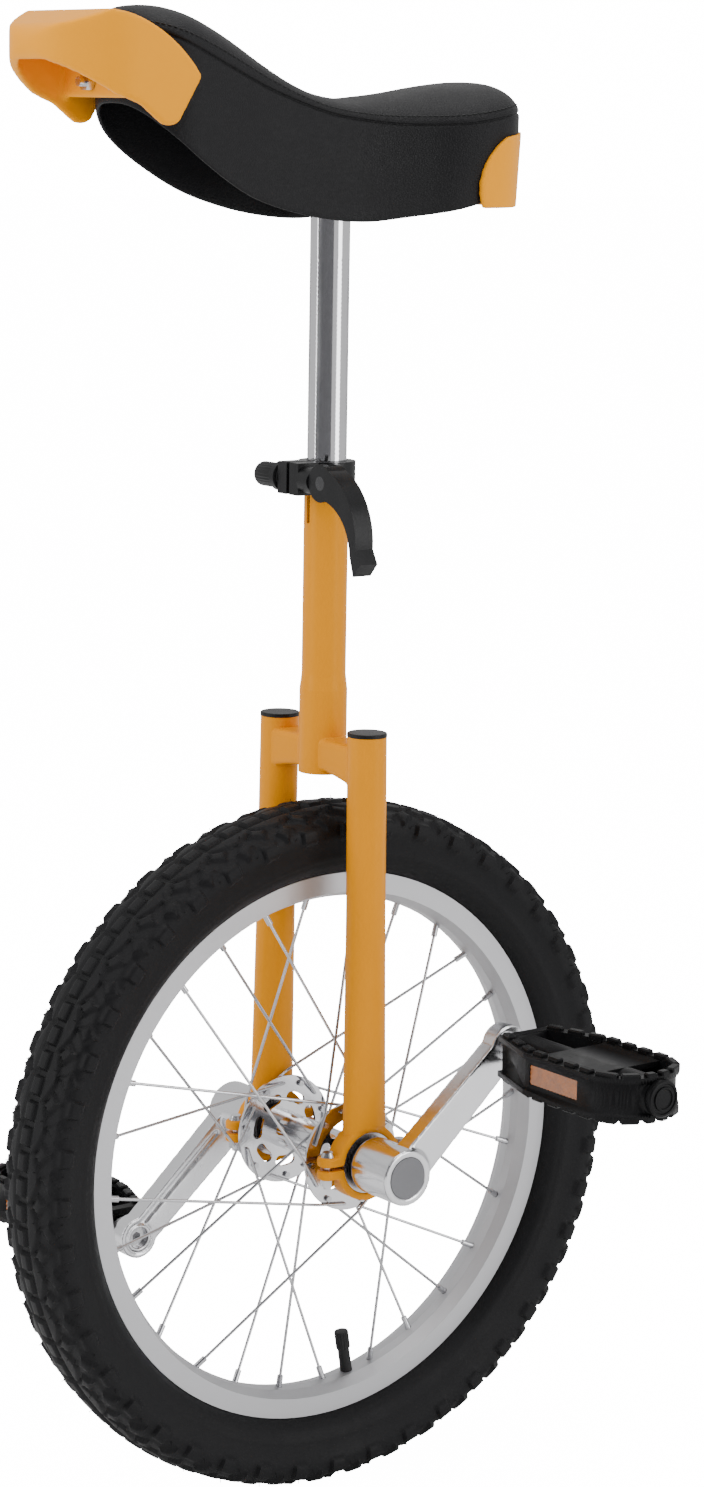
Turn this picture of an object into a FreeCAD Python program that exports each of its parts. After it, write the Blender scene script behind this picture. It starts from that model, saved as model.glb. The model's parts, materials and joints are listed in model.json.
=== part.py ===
"""Unicycle with an 18 x 2.125 wheel, built as an assembly of separate pieces.

Frame: +Z up, origin on the ground under the wheel, wheel axle along X.
The rider faces -Y, so +X is the rider's left.
"""
import FreeCAD, Part
import math
import os

V = FreeCAD.Vector

# ---------------------------------------------------------------- driving dimensions, mm
CURVED_GAP = 0.3         # between curved faces that move past each other
RUNNING_GAP = 0.05       # radial clearance of a turning or sliding fit
FIT_GAP = 0.02           # radial clearance of pieces that don't move on each other

WHEEL_R = 230.0          # tyre tread radius, and so the height of the axle
TYRE_CASING_R = 25.0     # section radius of the tyre's casing
TYRE_WALL = 4.0
TREAD_HALF_W = 31.0
TREAD_SHOULDER_DROP = 19.0   # where the tread's side meets the casing, below its middle
TREAD_EDGE_DROP = 5.0    # the tread's edges, below its middle
RIM_LAP = 4.0            # how far the casing's circle reaches past the rim's edge
RIM_EDGE_R = WHEEL_R - 2 * TYRE_CASING_R + RIM_LAP
RIM_HOOK_H = 6.5
RIM_DEPTH = 18.0
RIM_BED_R = RIM_EDGE_R - RIM_DEPTH
BEAD_SEAT_R = RIM_EDGE_R - RIM_HOOK_H
RIM_HALF_W = 14.6

SPOKE_COUNT = 28
SPOKE_R = 1.0
SPOKE_CROSSES = 3
VALVE_ANGLE = -80.4      # degrees from +Y towards +Z
NIPPLE_R = SPOKE_R + 1.0
NIPPLE_LENGTH = 12.0

FLANGE_X = 37.0
FLANGE_R = 36.5
FLANGE_T = 2.0
FLANGE_HOLE_CIRCLE_R = 32.0
SPINDLE_R = 8.5
BARREL_R = SPINDLE_R + 4.0
SHOULDER_R = SPINDLE_R + 2.0

BEARING_X = FLANGE_X + 14.5   # centre of each bearing
BEARING_W = 12.0
BEARING_R = 20.0
BEARING_BALL_R = 3.4
BEARING_BALLS = 8

CRANK_LENGTH = 112.0
CRANK_ANGLE = 41.5       # left crank, degrees above +Y
BOSS_R = 18.5
BOSS_IN_X = BEARING_X + BEARING_W / 2 + 4.5
BOSS_OUT_X = BOSS_IN_X + 37.0
ARM_IN_X = BOSS_IN_X + 22.0
ARM_OUT_X = ARM_IN_X + 13.0
ARM_HALF_ROOT = 13.0
ARM_HALF_TIP = 11.0
TAPER_START_X = BOSS_IN_X - 2.0
TAPER_END_X = BOSS_IN_X + 20.0
TAPER_HALF = SPINDLE_R - 1.37     # half width of the spindle's square where it starts
TAPER_DRAFT = 0.0545     # how fast each face of the square closes in
DUST_CAP_R = 13.5
CRANK_BOLT_R = 4.0

PEDAL_THREAD_R = 7.1
PEDAL_THREAD_IN = 4.0    # how far the thread's end sits inside the eye
EYE_LAND_R = PEDAL_THREAD_R + 1.9     # flat ring round the pedal's thread
EYE_RING_W = 2.2
ARM_END_R = EYE_LAND_R + EYE_RING_W + 2.8
GROOVE_DEPTH = 2.2       # groove along the back of the arm, on one side of its middle
GROOVE_LOW = -8.0
GROOVE_HIGH = -3.6

PEDAL_IN_X = ARM_OUT_X + 13.0
PEDAL_LENGTH = 132.0
PEDAL_OUT_X = PEDAL_IN_X + PEDAL_LENGTH
PEDAL_HALF_D = 35.0
PEDAL_NECK_HALF_D = 21.0
PEDAL_HALF_H = 13.5
PEDAL_PLATE_T = 3.5
PEDAL_WALL = 5.0
PEDAL_AXLE_R = 4.5
PEDAL_BORE_R = PEDAL_AXLE_R + 4.5
PEDAL_BARREL_R = PEDAL_BORE_R + 3.0
PEDAL_BALL_R = 1.55
PEDAL_BALLS = 12
PEDAL_FLANGE_R = PEDAL_THREAD_R + 2.4
PEDAL_NECK_R = 6.5
KEY_SOCKET = 6.0
WINDOW_FROM = 46.0       # the reflector's window, from the pedal's inner end
WINDOW_LENGTH = 46.0
WINDOW_HALF_H = 6.5

HOLDER_HALF_W = 7.0      # the bearing holder along X
HOLDER_R = BEARING_R + 5.0
EAR_Y = HOLDER_R + 4.0   # holder bolts in front of and behind the axle
EAR_R = 7.0
EAR_T = 7.5
EAR_GAP = 1.2            # half the gap between holder and cap
HOLDER_BOLT_R = 2.5

POST_R = 12.7
POST_WALL = 2.0
POST_LENGTH = 310.0

LEG_R = 12.7
LEG_TYRE_GAP = 3.8       # between a leg's top and the tread's edge
LEG_TOP_X = TREAD_HALF_W + LEG_TYRE_GAP + LEG_R
LEG_BOTTOM_X = BEARING_X
LEG_FOOT_HALF_Y = 16.0
LEG_FOOT_HALF_X = 9.5
LEG_ABOVE_TYRE = 49.5
LEG_TOP_Z = 2 * WHEEL_R + LEG_ABOVE_TYRE
LEG_BOTTOM_Z = WHEEL_R + HOLDER_R - 1.0
LEG_FOOT_LENGTH = 146.0  # the stretch that is drawn into an oval
TUBE_WALL = 1.5
MAIN_TUBE_R = POST_R + TUBE_WALL + 0.1
SLEEVE_R = MAIN_TUBE_R + 1.2
CROWN_TOP_Z = LEG_TOP_Z - 6.5
CROWN_DEPTH = 20.5
CROWN_LOW_Z = CROWN_TOP_Z - CROWN_DEPTH
CROWN_HALF_Y = LEG_R - 1.7
ARCH_DROP = 7.5
SLEEVE_TOP_Z = CROWN_TOP_Z + 31.0
MAIN_TUBE_ABOVE_CROWN = 176.0
MAIN_TUBE_TOP_Z = CROWN_TOP_Z + MAIN_TUBE_ABOVE_CROWN
SLOT_W = 3.0
SLOT_LENGTH = 36.0

COLLAR_R = MAIN_TUBE_R + 4.1
COLLAR_LOW_Z = MAIN_TUBE_TOP_Z - 18.0
COLLAR_TOP_Z = MAIN_TUBE_TOP_Z + 2.5
CLAMP_Y = -COLLAR_R - 5.2     # line of the quick-release skewer
CLAMP_Z = MAIN_TUBE_TOP_Z - 8.0
CLAMP_EAR_HALF_X = 11.0
SKEWER_R = 2.5
LEVER_PIVOT_X = CLAMP_EAR_HALF_X + 23.0
LEVER_HALF_W = 7.0
LEVER_EYE_HALF_W = SKEWER_R + 0.3
THROAT_HALF_W = LEVER_EYE_HALF_W + 0.4

SADDLE_RISE = 191.0      # seat plate above the main tube
PLATE_Z = MAIN_TUBE_TOP_Z + SADDLE_RISE
POST_BOTTOM_Z = PLATE_Z - POST_LENGTH
PLATE_T = 3.0
PLATE_HALF_X = 30.0
PLATE_FRONT_Y = -32.0
PLATE_REAR_Y = 48.0
SEAT_BOLT_X = 20.0
SEAT_BOLT_Y = (-22.0, 38.0)
SEAT_BOLT_R = 3.0

# Saddle, front to rear: y, half width at the seam, half width low, and the heights of the top,
# the seam and the lower edge above the seat plate
SADDLE_STATIONS = (
    (-166.0, 28.0, 27.0, 85.0, 80.0, 34.0),
    (-145.0, 42.0, 41.0, 91.5, 73.0, 15.0),
    (-110.0, 42.0, 40.0, 83.5, 58.5, -9.0),
    (-70.0, 38.0, 36.5, 61.5, 42.5, -26.5),
    (-30.0, 38.0, 36.5, 43.0, 30.0, -35.0),
    (5.0, 41.0, 38.0, 39.0, 25.5, -37.0),
    (40.0, 51.0, 46.0, 42.5, 24.0, -32.5),
    (80.0, 65.0, 56.0, 48.5, 28.0, -24.0),
    (104.0, 56.0, 50.0, 51.0, 32.0, -17.0),
    (118.0, 40.0, 37.0, 47.0, 32.0, -13.0),
    (127.0, 16.0, 15.0, 36.0, 30.0, -11.0),
)
NOSE_Y = SADDLE_STATIONS[0][0]
TAIL_Y = SADDLE_STATIONS[-1][0]
COVER_T = 1.6
BASE_T = 3.0
SOFT_GAP = 0.3

HANDLE_FRONT_Y = NOSE_Y - 60.5
HANDLE_REAR_Y = NOSE_Y + 33.0
HANDLE_HALF_X = 51.0
HANDLE_WALL = 5.0
HANDLE_TOP_Z = PLATE_Z + 88.0
HANDLE_TIP_Z = PLATE_Z + 20.5
NOSE_BOLT_X = 15.0
NOSE_BOLT_Z = PLATE_Z + 46.0
NOSE_BOLT_R = 3.0
BULKHEAD_T = 4.0
BUMPER_FRONT_Y = TAIL_Y - 54.0
BUMPER_LOW_Z = PLATE_Z - 28.0
BUMPER_TOP_Z = PLATE_Z + 24.0
BUMPER_WALL = 4.0

AXLE = V(0, 0, WHEEL_R)
X_DIR = V(1, 0, 0)
Y_DIR = V(0, 1, 0)
Z_DIR = V(0, 0, 1)


# ---------------------------------------------------------------- helpers
def cyl_x(r, x0, x1, y=0.0, z=0.0):
    return Part.makeCylinder(r, x1 - x0, V(x0, y, z), X_DIR)


def cyl_y(r, y0, y1, x=0.0, z=0.0):
    return Part.makeCylinder(r, y1 - y0, V(x, y0, z), Y_DIR)


def cyl_z(r, z0, z1, x=0.0, y=0.0):
    return Part.makeCylinder(r, z1 - z0, V(x, y, z0), Z_DIR)


def hex_z(across_flats, z0, z1, x, y):
    r = across_flats / math.sqrt(3)
    corners = [V(x + r * math.cos(math.radians(a)), y + r * math.sin(math.radians(a)), z0)
               for a in range(0, 361, 60)]
    return Part.Face(Part.makePolygon(corners)).extrude(V(0, 0, z1 - z0))


def hex_x(across_flats, x0, x1, y, z):
    solid = hex_z(across_flats, 0, x1 - x0, 0, 0)
    solid.rotate(V(), Y_DIR, 90)
    return moved(solid, x0, y, z)


def block(x0, x1, y0, y1, z0, z1):
    return Part.makeBox(x1 - x0, y1 - y0, z1 - z0, V(x0, y0, z0))


def moved(shape, x=0.0, y=0.0, z=0.0):
    copy = shape.copy()
    copy.translate(V(x, y, z))
    return copy


def turned_x(shape, degrees):
    """Turned about the X axis through the origin: +Y goes towards +Z."""
    copy = shape.copy()
    copy.rotate(V(), X_DIR, degrees)
    return copy


def mirrored(shape):
    return shape.mirror(V(), X_DIR)


def polar(r, degrees, x=0.0):
    a = math.radians(degrees)
    return V(x, r * math.cos(a), r * math.sin(a))


def line(a, b):
    return Part.LineSegment(a, b).toShape()


def arc(a, b, c):
    return Part.Arc(a, b, c).toShape()


def face(edges):
    return Part.Face(Part.Wire(edges))


def polygon_face(points):
    return Part.Face(Part.makePolygon(list(points) + [points[0]]))


def rod(a, b, r):
    """Round rod from a to b."""
    return Part.makeCylinder(r, (b - a).Length, a, b - a)


def save(name, shape):
    if shape.ShapeType == "Compound" and len(shape.Solids) == 1:
        shape = shape.Solids[0]
    if not shape.isValid():
        raise RuntimeError(name + " is not a valid shape")
    shape.exportStep("parts/" + name + ".step")
    print(name, len(shape.Solids), "solids", round(shape.Volume / 1000.0, 2), "cm3")


def at_wheel(shape):
    return moved(shape, z=WHEEL_R)


# ---------------------------------------------------------------- wheel: tyre, tube, rim
CASING_CENTRE_R = WHEEL_R - TYRE_CASING_R
BEAD_X = RIM_HALF_W - 3.4
BEAD_TOE_X = BEAD_X - 3.6


def section_point(x, r):
    return V(x, 0, r)


def spin_section(section):
    return at_wheel(section.revolve(V(), X_DIR, 360))


def tyre():
    c = TYRE_CASING_R
    bead_r = BEAD_SEAT_R + 0.5
    join_r = RIM_EDGE_R + CURVED_GAP
    inner = c - TYRE_WALL
    toe_r = CASING_CENTRE_R - math.sqrt(inner * inner - BEAD_TOE_X * BEAD_TOE_X)
    shoulder_r = WHEEL_R - TREAD_SHOULDER_DROP
    shoulder_x = math.sqrt(c * c - (shoulder_r - CASING_CENTRE_R) ** 2)
    edge_x = TREAD_HALF_W - 1.5
    edge_r = WHEEL_R - TREAD_EDGE_DROP
    p = section_point
    right = [
        line(p(BEAD_X, bead_r), p(BEAD_X, join_r)),
        arc(p(BEAD_X, join_r), p(c, CASING_CENTRE_R), p(shoulder_x, shoulder_r)),
        line(p(shoulder_x, shoulder_r), p(TREAD_HALF_W, shoulder_r + 2.0)),
        line(p(TREAD_HALF_W, shoulder_r + 2.0), p(edge_x, edge_r)),
    ]
    crown = arc(p(edge_x, edge_r), p(0, WHEEL_R), p(-edge_x, edge_r))
    left = [
        line(p(-edge_x, edge_r), p(-TREAD_HALF_W, shoulder_r + 2.0)),
        line(p(-TREAD_HALF_W, shoulder_r + 2.0), p(-shoulder_x, shoulder_r)),
        arc(p(-shoulder_x, shoulder_r), p(-c, CASING_CENTRE_R), p(-BEAD_X, join_r)),
        line(p(-BEAD_X, join_r), p(-BEAD_X, bead_r)),
        line(p(-BEAD_X, bead_r), p(-BEAD_TOE_X, bead_r)),
        line(p(-BEAD_TOE_X, bead_r), p(-BEAD_TOE_X, toe_r)),
        arc(p(-BEAD_TOE_X, toe_r), p(0, CASING_CENTRE_R + inner), p(BEAD_TOE_X, toe_r)),
        line(p(BEAD_TOE_X, toe_r), p(BEAD_TOE_X, bead_r)),
        line(p(BEAD_TOE_X, bead_r), p(BEAD_X, bead_r)),
    ]
    return spin_section(face(right + [crown] + left))


TUBE_SECTION_R = TYRE_CASING_R - TYRE_WALL - 0.5
TUBE_WALL_T = 1.2
VALVE_R = 4.0
VALVE_BORE_R = 1.25
VALVE_TIP_R = RIM_BED_R - 25.0
VALVE_NECK_R = RIM_BED_R - 16.0
CAP_R = 4.9


def radial_rod(r, start, end):
    """Rod along the valve's line, between two distances from the axle."""
    return at_wheel(rod(polar(start, VALVE_ANGLE), polar(end, VALVE_ANGLE), r))


def inner_tube():
    torus = Part.makeTorus(CASING_CENTRE_R, TUBE_SECTION_R, AXLE, X_DIR)
    hollow = Part.makeTorus(CASING_CENTRE_R, TUBE_SECTION_R - TUBE_WALL_T, AXLE, X_DIR)
    tube = torus.cut(hollow)
    low = CASING_CENTRE_R - TUBE_SECTION_R
    return tube.cut(radial_rod(VALVE_BORE_R, low - 3.0, low + 6.0))


def valve_stem():
    low = CASING_CENTRE_R - TUBE_SECTION_R
    body = radial_rod(VALVE_R, VALVE_NECK_R, low + 3.0)
    neck = radial_rod(VALVE_R - 0.7, VALVE_TIP_R, VALVE_NECK_R + 1.0)
    torus = Part.makeTorus(CASING_CENTRE_R, TUBE_SECTION_R + FIT_GAP, AXLE, X_DIR)
    stem = body.fuse(neck).cut(torus)
    return stem.cut(radial_rod(VALVE_BORE_R, VALVE_TIP_R - 1.0, low + 4.0))


def valve_cap():
    body = radial_rod(CAP_R, VALVE_TIP_R - 3.0, VALVE_NECK_R - 0.2)
    return body.cut(radial_rod(VALVE_R - 0.7 + FIT_GAP, VALVE_TIP_R - 0.5, VALVE_NECK_R))


RIM_WALL = 1.6
WELL_HALF_W = 5.6
WELL_R = BEAD_SEAT_R - 3.0
CHAMBER_FLOOR_R = RIM_BED_R + 2.0
CHAMBER_TOP_R = WELL_R - RIM_WALL


def rim_blank():
    w = RIM_HALF_W
    p = section_point
    half = [
        (w, RIM_EDGE_R), (w, RIM_EDGE_R - 13.0), (6.5, RIM_BED_R + 1.0), (0.0, RIM_BED_R),
    ]
    inside = [
        (WELL_HALF_W - 0.6, WELL_R), (WELL_HALF_W + 1.4, BEAD_SEAT_R - 0.3), (w - 2.4, BEAD_SEAT_R),
        (w - 3.0, RIM_EDGE_R - 1.5), (w - 3.0, RIM_EDGE_R),
    ]
    outline = [p(x, r) for x, r in half]
    outline += [p(-x, r) for x, r in reversed(half[:-1])]
    outline += [p(-x, r) for x, r in reversed(inside)]
    outline += [p(x, r) for x, r in inside]
    chamber = [
        (w - 2.2, BEAD_SEAT_R - 1.9), (WELL_HALF_W + 2.0, BEAD_SEAT_R - 1.9), (WELL_HALF_W, CHAMBER_TOP_R),
    ]
    floor = [(6.0, CHAMBER_FLOOR_R + 1.0), (w - 2.2, RIM_EDGE_R - 11.7)]
    cavity = [p(x, r) for x, r in chamber]
    cavity += [p(-x, r) for x, r in reversed(chamber)]
    cavity += [p(-x, r) for x, r in reversed(floor)]
    cavity += [p(0.0, CHAMBER_FLOOR_R)]
    cavity += [p(x, r) for x, r in floor]
    return spin_section(polygon_face(outline)).cut(spin_section(polygon_face(cavity)))


def spoke_lines():
    """Where each spoke leaves the flange, where it bends and where it meets the rim."""
    step = 360.0 / SPOKE_COUNT
    lead = SPOKE_CROSSES * 2.0 * step
    lines = []
    for k in range(SPOKE_COUNT):
        side = 1 if k % 2 == 0 else -1
        trailing = (k // 2) % 2 == 0
        rim_angle = VALVE_ANGLE + (k + 0.5) * step
        hub_angle = rim_angle + (lead if trailing else -lead)
        offset = FLANGE_T / 2 + SPOKE_R + 0.2
        outside = trailing
        x = side * (FLANGE_X + (offset if outside else -offset))
        hole = polar(FLANGE_HOLE_CIRCLE_R, hub_angle, x)
        nipple = polar(RIM_BED_R + 4.0, rim_angle)
        head_x = side * (FLANGE_X - (offset if outside else -offset))
        head = polar(FLANGE_HOLE_CIRCLE_R, hub_angle, head_x)
        bend = hole
        if outside:
            flat = V(0, nipple.y - hole.y, nipple.z - hole.z)
            reach = math.sqrt(FLANGE_R ** 2 - FLANGE_HOLE_CIRCLE_R ** 2) + 4.0
            bend = hole + flat.normalize() * reach
        lines.append((side, head, hole, bend, nipple))
    return lines


def spoke(head, hole, bend, nipple):
    along = (nipple - bend).normalize()
    tip = nipple + along * 1.5
    inward = (hole - head).normalize()
    pieces = [
        rod(head + inward * 0.1, hole, SPOKE_R),
        Part.makeSphere(SPOKE_R, hole),
        rod(bend, tip, SPOKE_R),
        rod(head - inward * 0.9, head + inward * 0.1, SPOKE_R + 0.9),
    ]
    if (bend - hole).Length > 0.1:
        pieces += [rod(hole, bend, SPOKE_R), Part.makeSphere(SPOKE_R, bend)]
    return pieces[0].multiFuse(pieces[1:])


def spokes(side):
    return at_wheel(Part.Compound([spoke(*item[1:]) for item in spoke_lines() if item[0] == side]))


def nipples():
    solids = []
    for side, head, hole, bend, nipple in spoke_lines():
        along = (nipple - bend).normalize()
        body = rod(nipple - along * NIPPLE_LENGTH, nipple, NIPPLE_R)
        top = rod(nipple - along * 0.1, nipple + along * 2.0, NIPPLE_R + 0.9)
        bore = rod(nipple - along * (NIPPLE_LENGTH + 1.0), nipple + along * 3.0, SPOKE_R + FIT_GAP)
        solids.append(body.fuse(top).cut(bore))
    return at_wheel(Part.Compound(solids))


def rim():
    tools = []
    step = 360.0 / SPOKE_COUNT
    for k, (side, head, hole, bend, nipple) in enumerate(spoke_lines()):
        along = (nipple - bend).normalize()
        tools.append(rod(nipple - along * 9.0, nipple + along * 0.3, NIPPLE_R + 0.2))
        out = VALVE_ANGLE + (k + 0.5) * step
        tools.append(rod(polar(CHAMBER_TOP_R - 1.5, out), polar(WELL_R + 1.0, out), 4.2))
    blank = rim_blank().cut(at_wheel(Part.Compound(tools)))
    return blank.cut(radial_rod(VALVE_R + 0.2, RIM_BED_R - 2.0, WELL_R + 2.0))


def rim_tape():
    p = section_point
    low = WELL_R + FIT_GAP
    half = WELL_HALF_W - 1.0
    section = polygon_face([p(-half, low), p(half, low), p(half, low + 0.8), p(-half, low + 0.8)])
    return spin_section(section).cut(radial_rod(VALVE_R + 0.2, RIM_BED_R, WELL_R + 3.0))


# ---------------------------------------------------------------- hub and bearings
def hub_barrel():
    end = FLANGE_X + FLANGE_T / 2 + 0.5
    barrel = cyl_x(BARREL_R, -end, end)
    return at_wheel(barrel.cut(cyl_x(SPINDLE_R + FIT_GAP, -end - 1, end + 1)))


KIDNEY_COUNT = 7
KIDNEY_R = 22.0
KIDNEY_HALF_W = 3.6
KIDNEY_SPAN = 22.0


def kidney(angle):
    """One curved slot of the stamped flange, as a cutting tool."""
    inner = KIDNEY_R - KIDNEY_HALF_W
    outer = KIDNEY_R + KIDNEY_HALF_W
    start = angle - KIDNEY_SPAN / 2
    end = angle + KIDNEY_SPAN / 2
    edges = [
        arc(polar(inner, start), polar(inner, angle), polar(inner, end)),
        line(polar(inner, end), polar(outer, end)),
        arc(polar(outer, end), polar(outer, angle), polar(outer, start)),
        line(polar(outer, start), polar(inner, start)),
    ]
    slot = moved(face(edges), x=-3).extrude(V(6, 0, 0))
    ends = [cyl_x(KIDNEY_HALF_W, -3, 3, *polar(KIDNEY_R, a)[1:3]) for a in (start, end)]
    return slot.multiFuse(ends)


def hub_flange(side):
    x0 = side * FLANGE_X - FLANGE_T / 2
    disc = cyl_x(FLANGE_R, x0, x0 + FLANGE_T)
    tools = [cyl_x(BARREL_R + FIT_GAP, x0 - 1, x0 + FLANGE_T + 1)]
    for i in range(KIDNEY_COUNT):
        tools.append(moved(kidney(360.0 / KIDNEY_COUNT * i + 15.0), x=side * FLANGE_X))
    for item_side, head, hole, bend, nipple in spoke_lines():
        if item_side == side:
            tools.append(cyl_x(SPOKE_R + 0.2, x0 - 1, x0 + FLANGE_T + 1, hole.y, hole.z))
    return at_wheel(disc.cut(Part.Compound(tools)))


def square_x(half, x):
    return Part.makePolygon([V(x, half, half), V(x, -half, half), V(x, -half, -half),
                             V(x, half, -half), V(x, half, half)])


BEARING_IN_X = BEARING_X - BEARING_W / 2
BEARING_OUT_X = BEARING_X + BEARING_W / 2


def taper(gap, x_end):
    """Square taper on the spindle's end, its corners turned down to the spindle's size."""
    big = TAPER_HALF + gap
    small = big - TAPER_DRAFT * (x_end - TAPER_START_X)
    loft = Part.makeLoft([square_x(big, TAPER_START_X), square_x(small, x_end)], True, True)
    return loft.common(cyl_x(SPINDLE_R + gap, TAPER_START_X - 1, x_end + 1))


def spindle_end():
    shoulder = cyl_x(SHOULDER_R, FLANGE_X + FLANGE_T / 2 + 0.6, BEARING_IN_X)
    journal = cyl_x(SPINDLE_R, 0, TAPER_START_X)
    end = journal.multiFuse([shoulder, taper(0.0, TAPER_END_X)])
    return end.cut(cyl_x(CRANK_BOLT_R, TAPER_END_X - 24.0, TAPER_END_X + 1))


def hub_spindle():
    end = spindle_end()
    both = end.fuse(mirrored(end)).removeSplitter()
    return at_wheel(turned_x(both, CRANK_ANGLE))


RACE_MEAN_R = (BEARING_R + SPINDLE_R) / 2 + 0.1
RACE_HALF_GAP = 1.7


def race_groove(gap):
    return Part.makeTorus(RACE_MEAN_R, BEARING_BALL_R + gap, V(BEARING_X, 0, 0), X_DIR)


def bearing_inner_rings():
    ring = cyl_x(RACE_MEAN_R - RACE_HALF_GAP, BEARING_IN_X, BEARING_OUT_X)
    ring = ring.cut(cyl_x(SPINDLE_R + FIT_GAP, 0, 2 * BEARING_X)).cut(race_groove(RUNNING_GAP))
    return at_wheel(Part.Compound([ring, mirrored(ring)]))


def bearing_outer_rings():
    ring = cyl_x(BEARING_R, BEARING_IN_X, BEARING_OUT_X)
    ring = ring.cut(cyl_x(RACE_MEAN_R + RACE_HALF_GAP, 0, 2 * BEARING_X)).cut(race_groove(CURVED_GAP))
    return at_wheel(Part.Compound([ring, mirrored(ring)]))


def bearing_balls():
    balls = []
    for i in range(BEARING_BALLS):
        ball = Part.makeSphere(BEARING_BALL_R, polar(RACE_MEAN_R, 360.0 / BEARING_BALLS * i, BEARING_X))
        balls += [ball, mirrored(ball)]
    return at_wheel(Part.Compound(balls))


def bearing_shields():
    outer = RACE_MEAN_R + RACE_HALF_GAP - FIT_GAP
    inner = RACE_MEAN_R - RACE_HALF_GAP + CURVED_GAP
    shields = []
    for x0 in (BEARING_IN_X + 0.3, BEARING_OUT_X - 1.1):
        shield = cyl_x(outer, x0, x0 + 0.8).cut(cyl_x(inner, x0 - 1, x0 + 2))
        shields += [shield, mirrored(shield)]
    return at_wheel(Part.Compound(shields))


# ---------------------------------------------------------------- cranks
def crank_local():
    """Crank in its own frame: axle on X, arm along +Y."""
    boss = cyl_x(BOSS_R, BOSS_IN_X, BOSS_OUT_X)
    arm = polygon_face([
        V(ARM_IN_X, 0, ARM_HALF_ROOT), V(ARM_IN_X, 0, -ARM_HALF_ROOT),
        V(ARM_IN_X, CRANK_LENGTH, -ARM_HALF_TIP), V(ARM_IN_X, CRANK_LENGTH, ARM_HALF_TIP),
    ]).extrude(V(ARM_OUT_X - ARM_IN_X, 0, 0))
    eye = cyl_x(ARM_END_R, ARM_IN_X, ARM_OUT_X, CRANK_LENGTH)
    body = boss.multiFuse([arm, eye]).removeSplitter()
    groove_start = BOSS_R + 6.0
    groove = block(ARM_IN_X - 1, ARM_IN_X + GROOVE_DEPTH, groove_start, CRANK_LENGTH, GROOVE_LOW, GROOVE_HIGH)
    groove = groove.fuse(cyl_x((GROOVE_HIGH - GROOVE_LOW) / 2, ARM_IN_X - 1, ARM_IN_X + GROOVE_DEPTH,
                               groove_start, (GROOVE_HIGH + GROOVE_LOW) / 2))
    land = cyl_x(EYE_LAND_R, ARM_IN_X - 2, ARM_IN_X + GROOVE_DEPTH + 1, CRANK_LENGTH)
    ring = cyl_x(EYE_LAND_R + EYE_RING_W, ARM_IN_X - 1, ARM_IN_X + GROOVE_DEPTH / 2, CRANK_LENGTH)
    cap_seat = TAPER_END_X + 2.0
    body = body.cut(groove.fuse(ring).cut(land))
    body = body.cut(taper(FIT_GAP, cap_seat))
    body = body.cut(cyl_x(DUST_CAP_R - 2.0, cap_seat, BOSS_OUT_X + 1))
    body = body.cut(cyl_x(DUST_CAP_R + FIT_GAP, BOSS_OUT_X - 2.0, BOSS_OUT_X + 1))
    return body.cut(cyl_x(PEDAL_THREAD_R + FIT_GAP, ARM_IN_X - 1, ARM_OUT_X + 1, CRANK_LENGTH))


def left_crank_place(shape):
    return at_wheel(turned_x(shape, CRANK_ANGLE))


def right_crank_place(shape):
    return at_wheel(turned_x(mirrored(shape), CRANK_ANGLE + 180.0))


def both_ends(shape):
    return Part.Compound([left_crank_place(shape), right_crank_place(shape)])


def crank_bolt():
    seat = TAPER_END_X + 2.0
    shank = cyl_x(CRANK_BOLT_R - FIT_GAP, TAPER_END_X - 20.0, seat + 1.0)
    washer = cyl_x(DUST_CAP_R - 2.3, seat + 0.05, seat + 1.6)
    return shank.multiFuse([washer, hex_x(14.0, seat + 1.0, seat + 8.5, 0, 0)])


def dust_cap():
    disc = cyl_x(DUST_CAP_R, BOSS_OUT_X - 2.0, BOSS_OUT_X - 0.2)
    lip = cyl_x(DUST_CAP_R - 2.05, BOSS_OUT_X - 4.0, BOSS_OUT_X - 1.9)
    return disc.fuse(lip.cut(cyl_x(DUST_CAP_R - 3.5, BOSS_OUT_X - 5.0, BOSS_OUT_X - 1.9)))


# ---------------------------------------------------------------- pedals, own frame: axle on X
PEDAL_CAP_X = PEDAL_OUT_X - 16.0
CUP_IN_X = PEDAL_IN_X + 9.0
CUP_OUT_X = PEDAL_CAP_X - 8.0
CONE_R = PEDAL_BORE_R - 3.0
BALL_TRACK_R = PEDAL_AXLE_R + 3.5
WINDOW_IN_X = PEDAL_IN_X + WINDOW_FROM
WINDOW_OUT_X = WINDOW_IN_X + WINDOW_LENGTH


def pedal_outline(x0, half_depth, grow=0.0):
    """Plan outline of a pedal plate: narrow at the crank, full depth outside, round outer end."""
    neck = PEDAL_NECK_HALF_D + grow
    full = half_depth + grow
    shoulder_x = PEDAL_IN_X + 42.0
    round_x = PEDAL_OUT_X - 26.0
    nose_x = PEDAL_OUT_X + grow
    z0 = -x0
    edges = [
        line(V(PEDAL_IN_X - grow, -neck, z0), V(shoulder_x, -full, z0)),
        line(V(shoulder_x, -full, z0), V(round_x, -full, z0)),
        arc(V(round_x, -full, z0), V(nose_x, 0, z0), V(round_x, full, z0)),
        line(V(round_x, full, z0), V(shoulder_x, full, z0)),
        line(V(shoulder_x, full, z0), V(PEDAL_IN_X - grow, neck, z0)),
        line(V(PEDAL_IN_X - grow, neck, z0), V(PEDAL_IN_X - grow, -neck, z0)),
    ]
    return face(edges)


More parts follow.
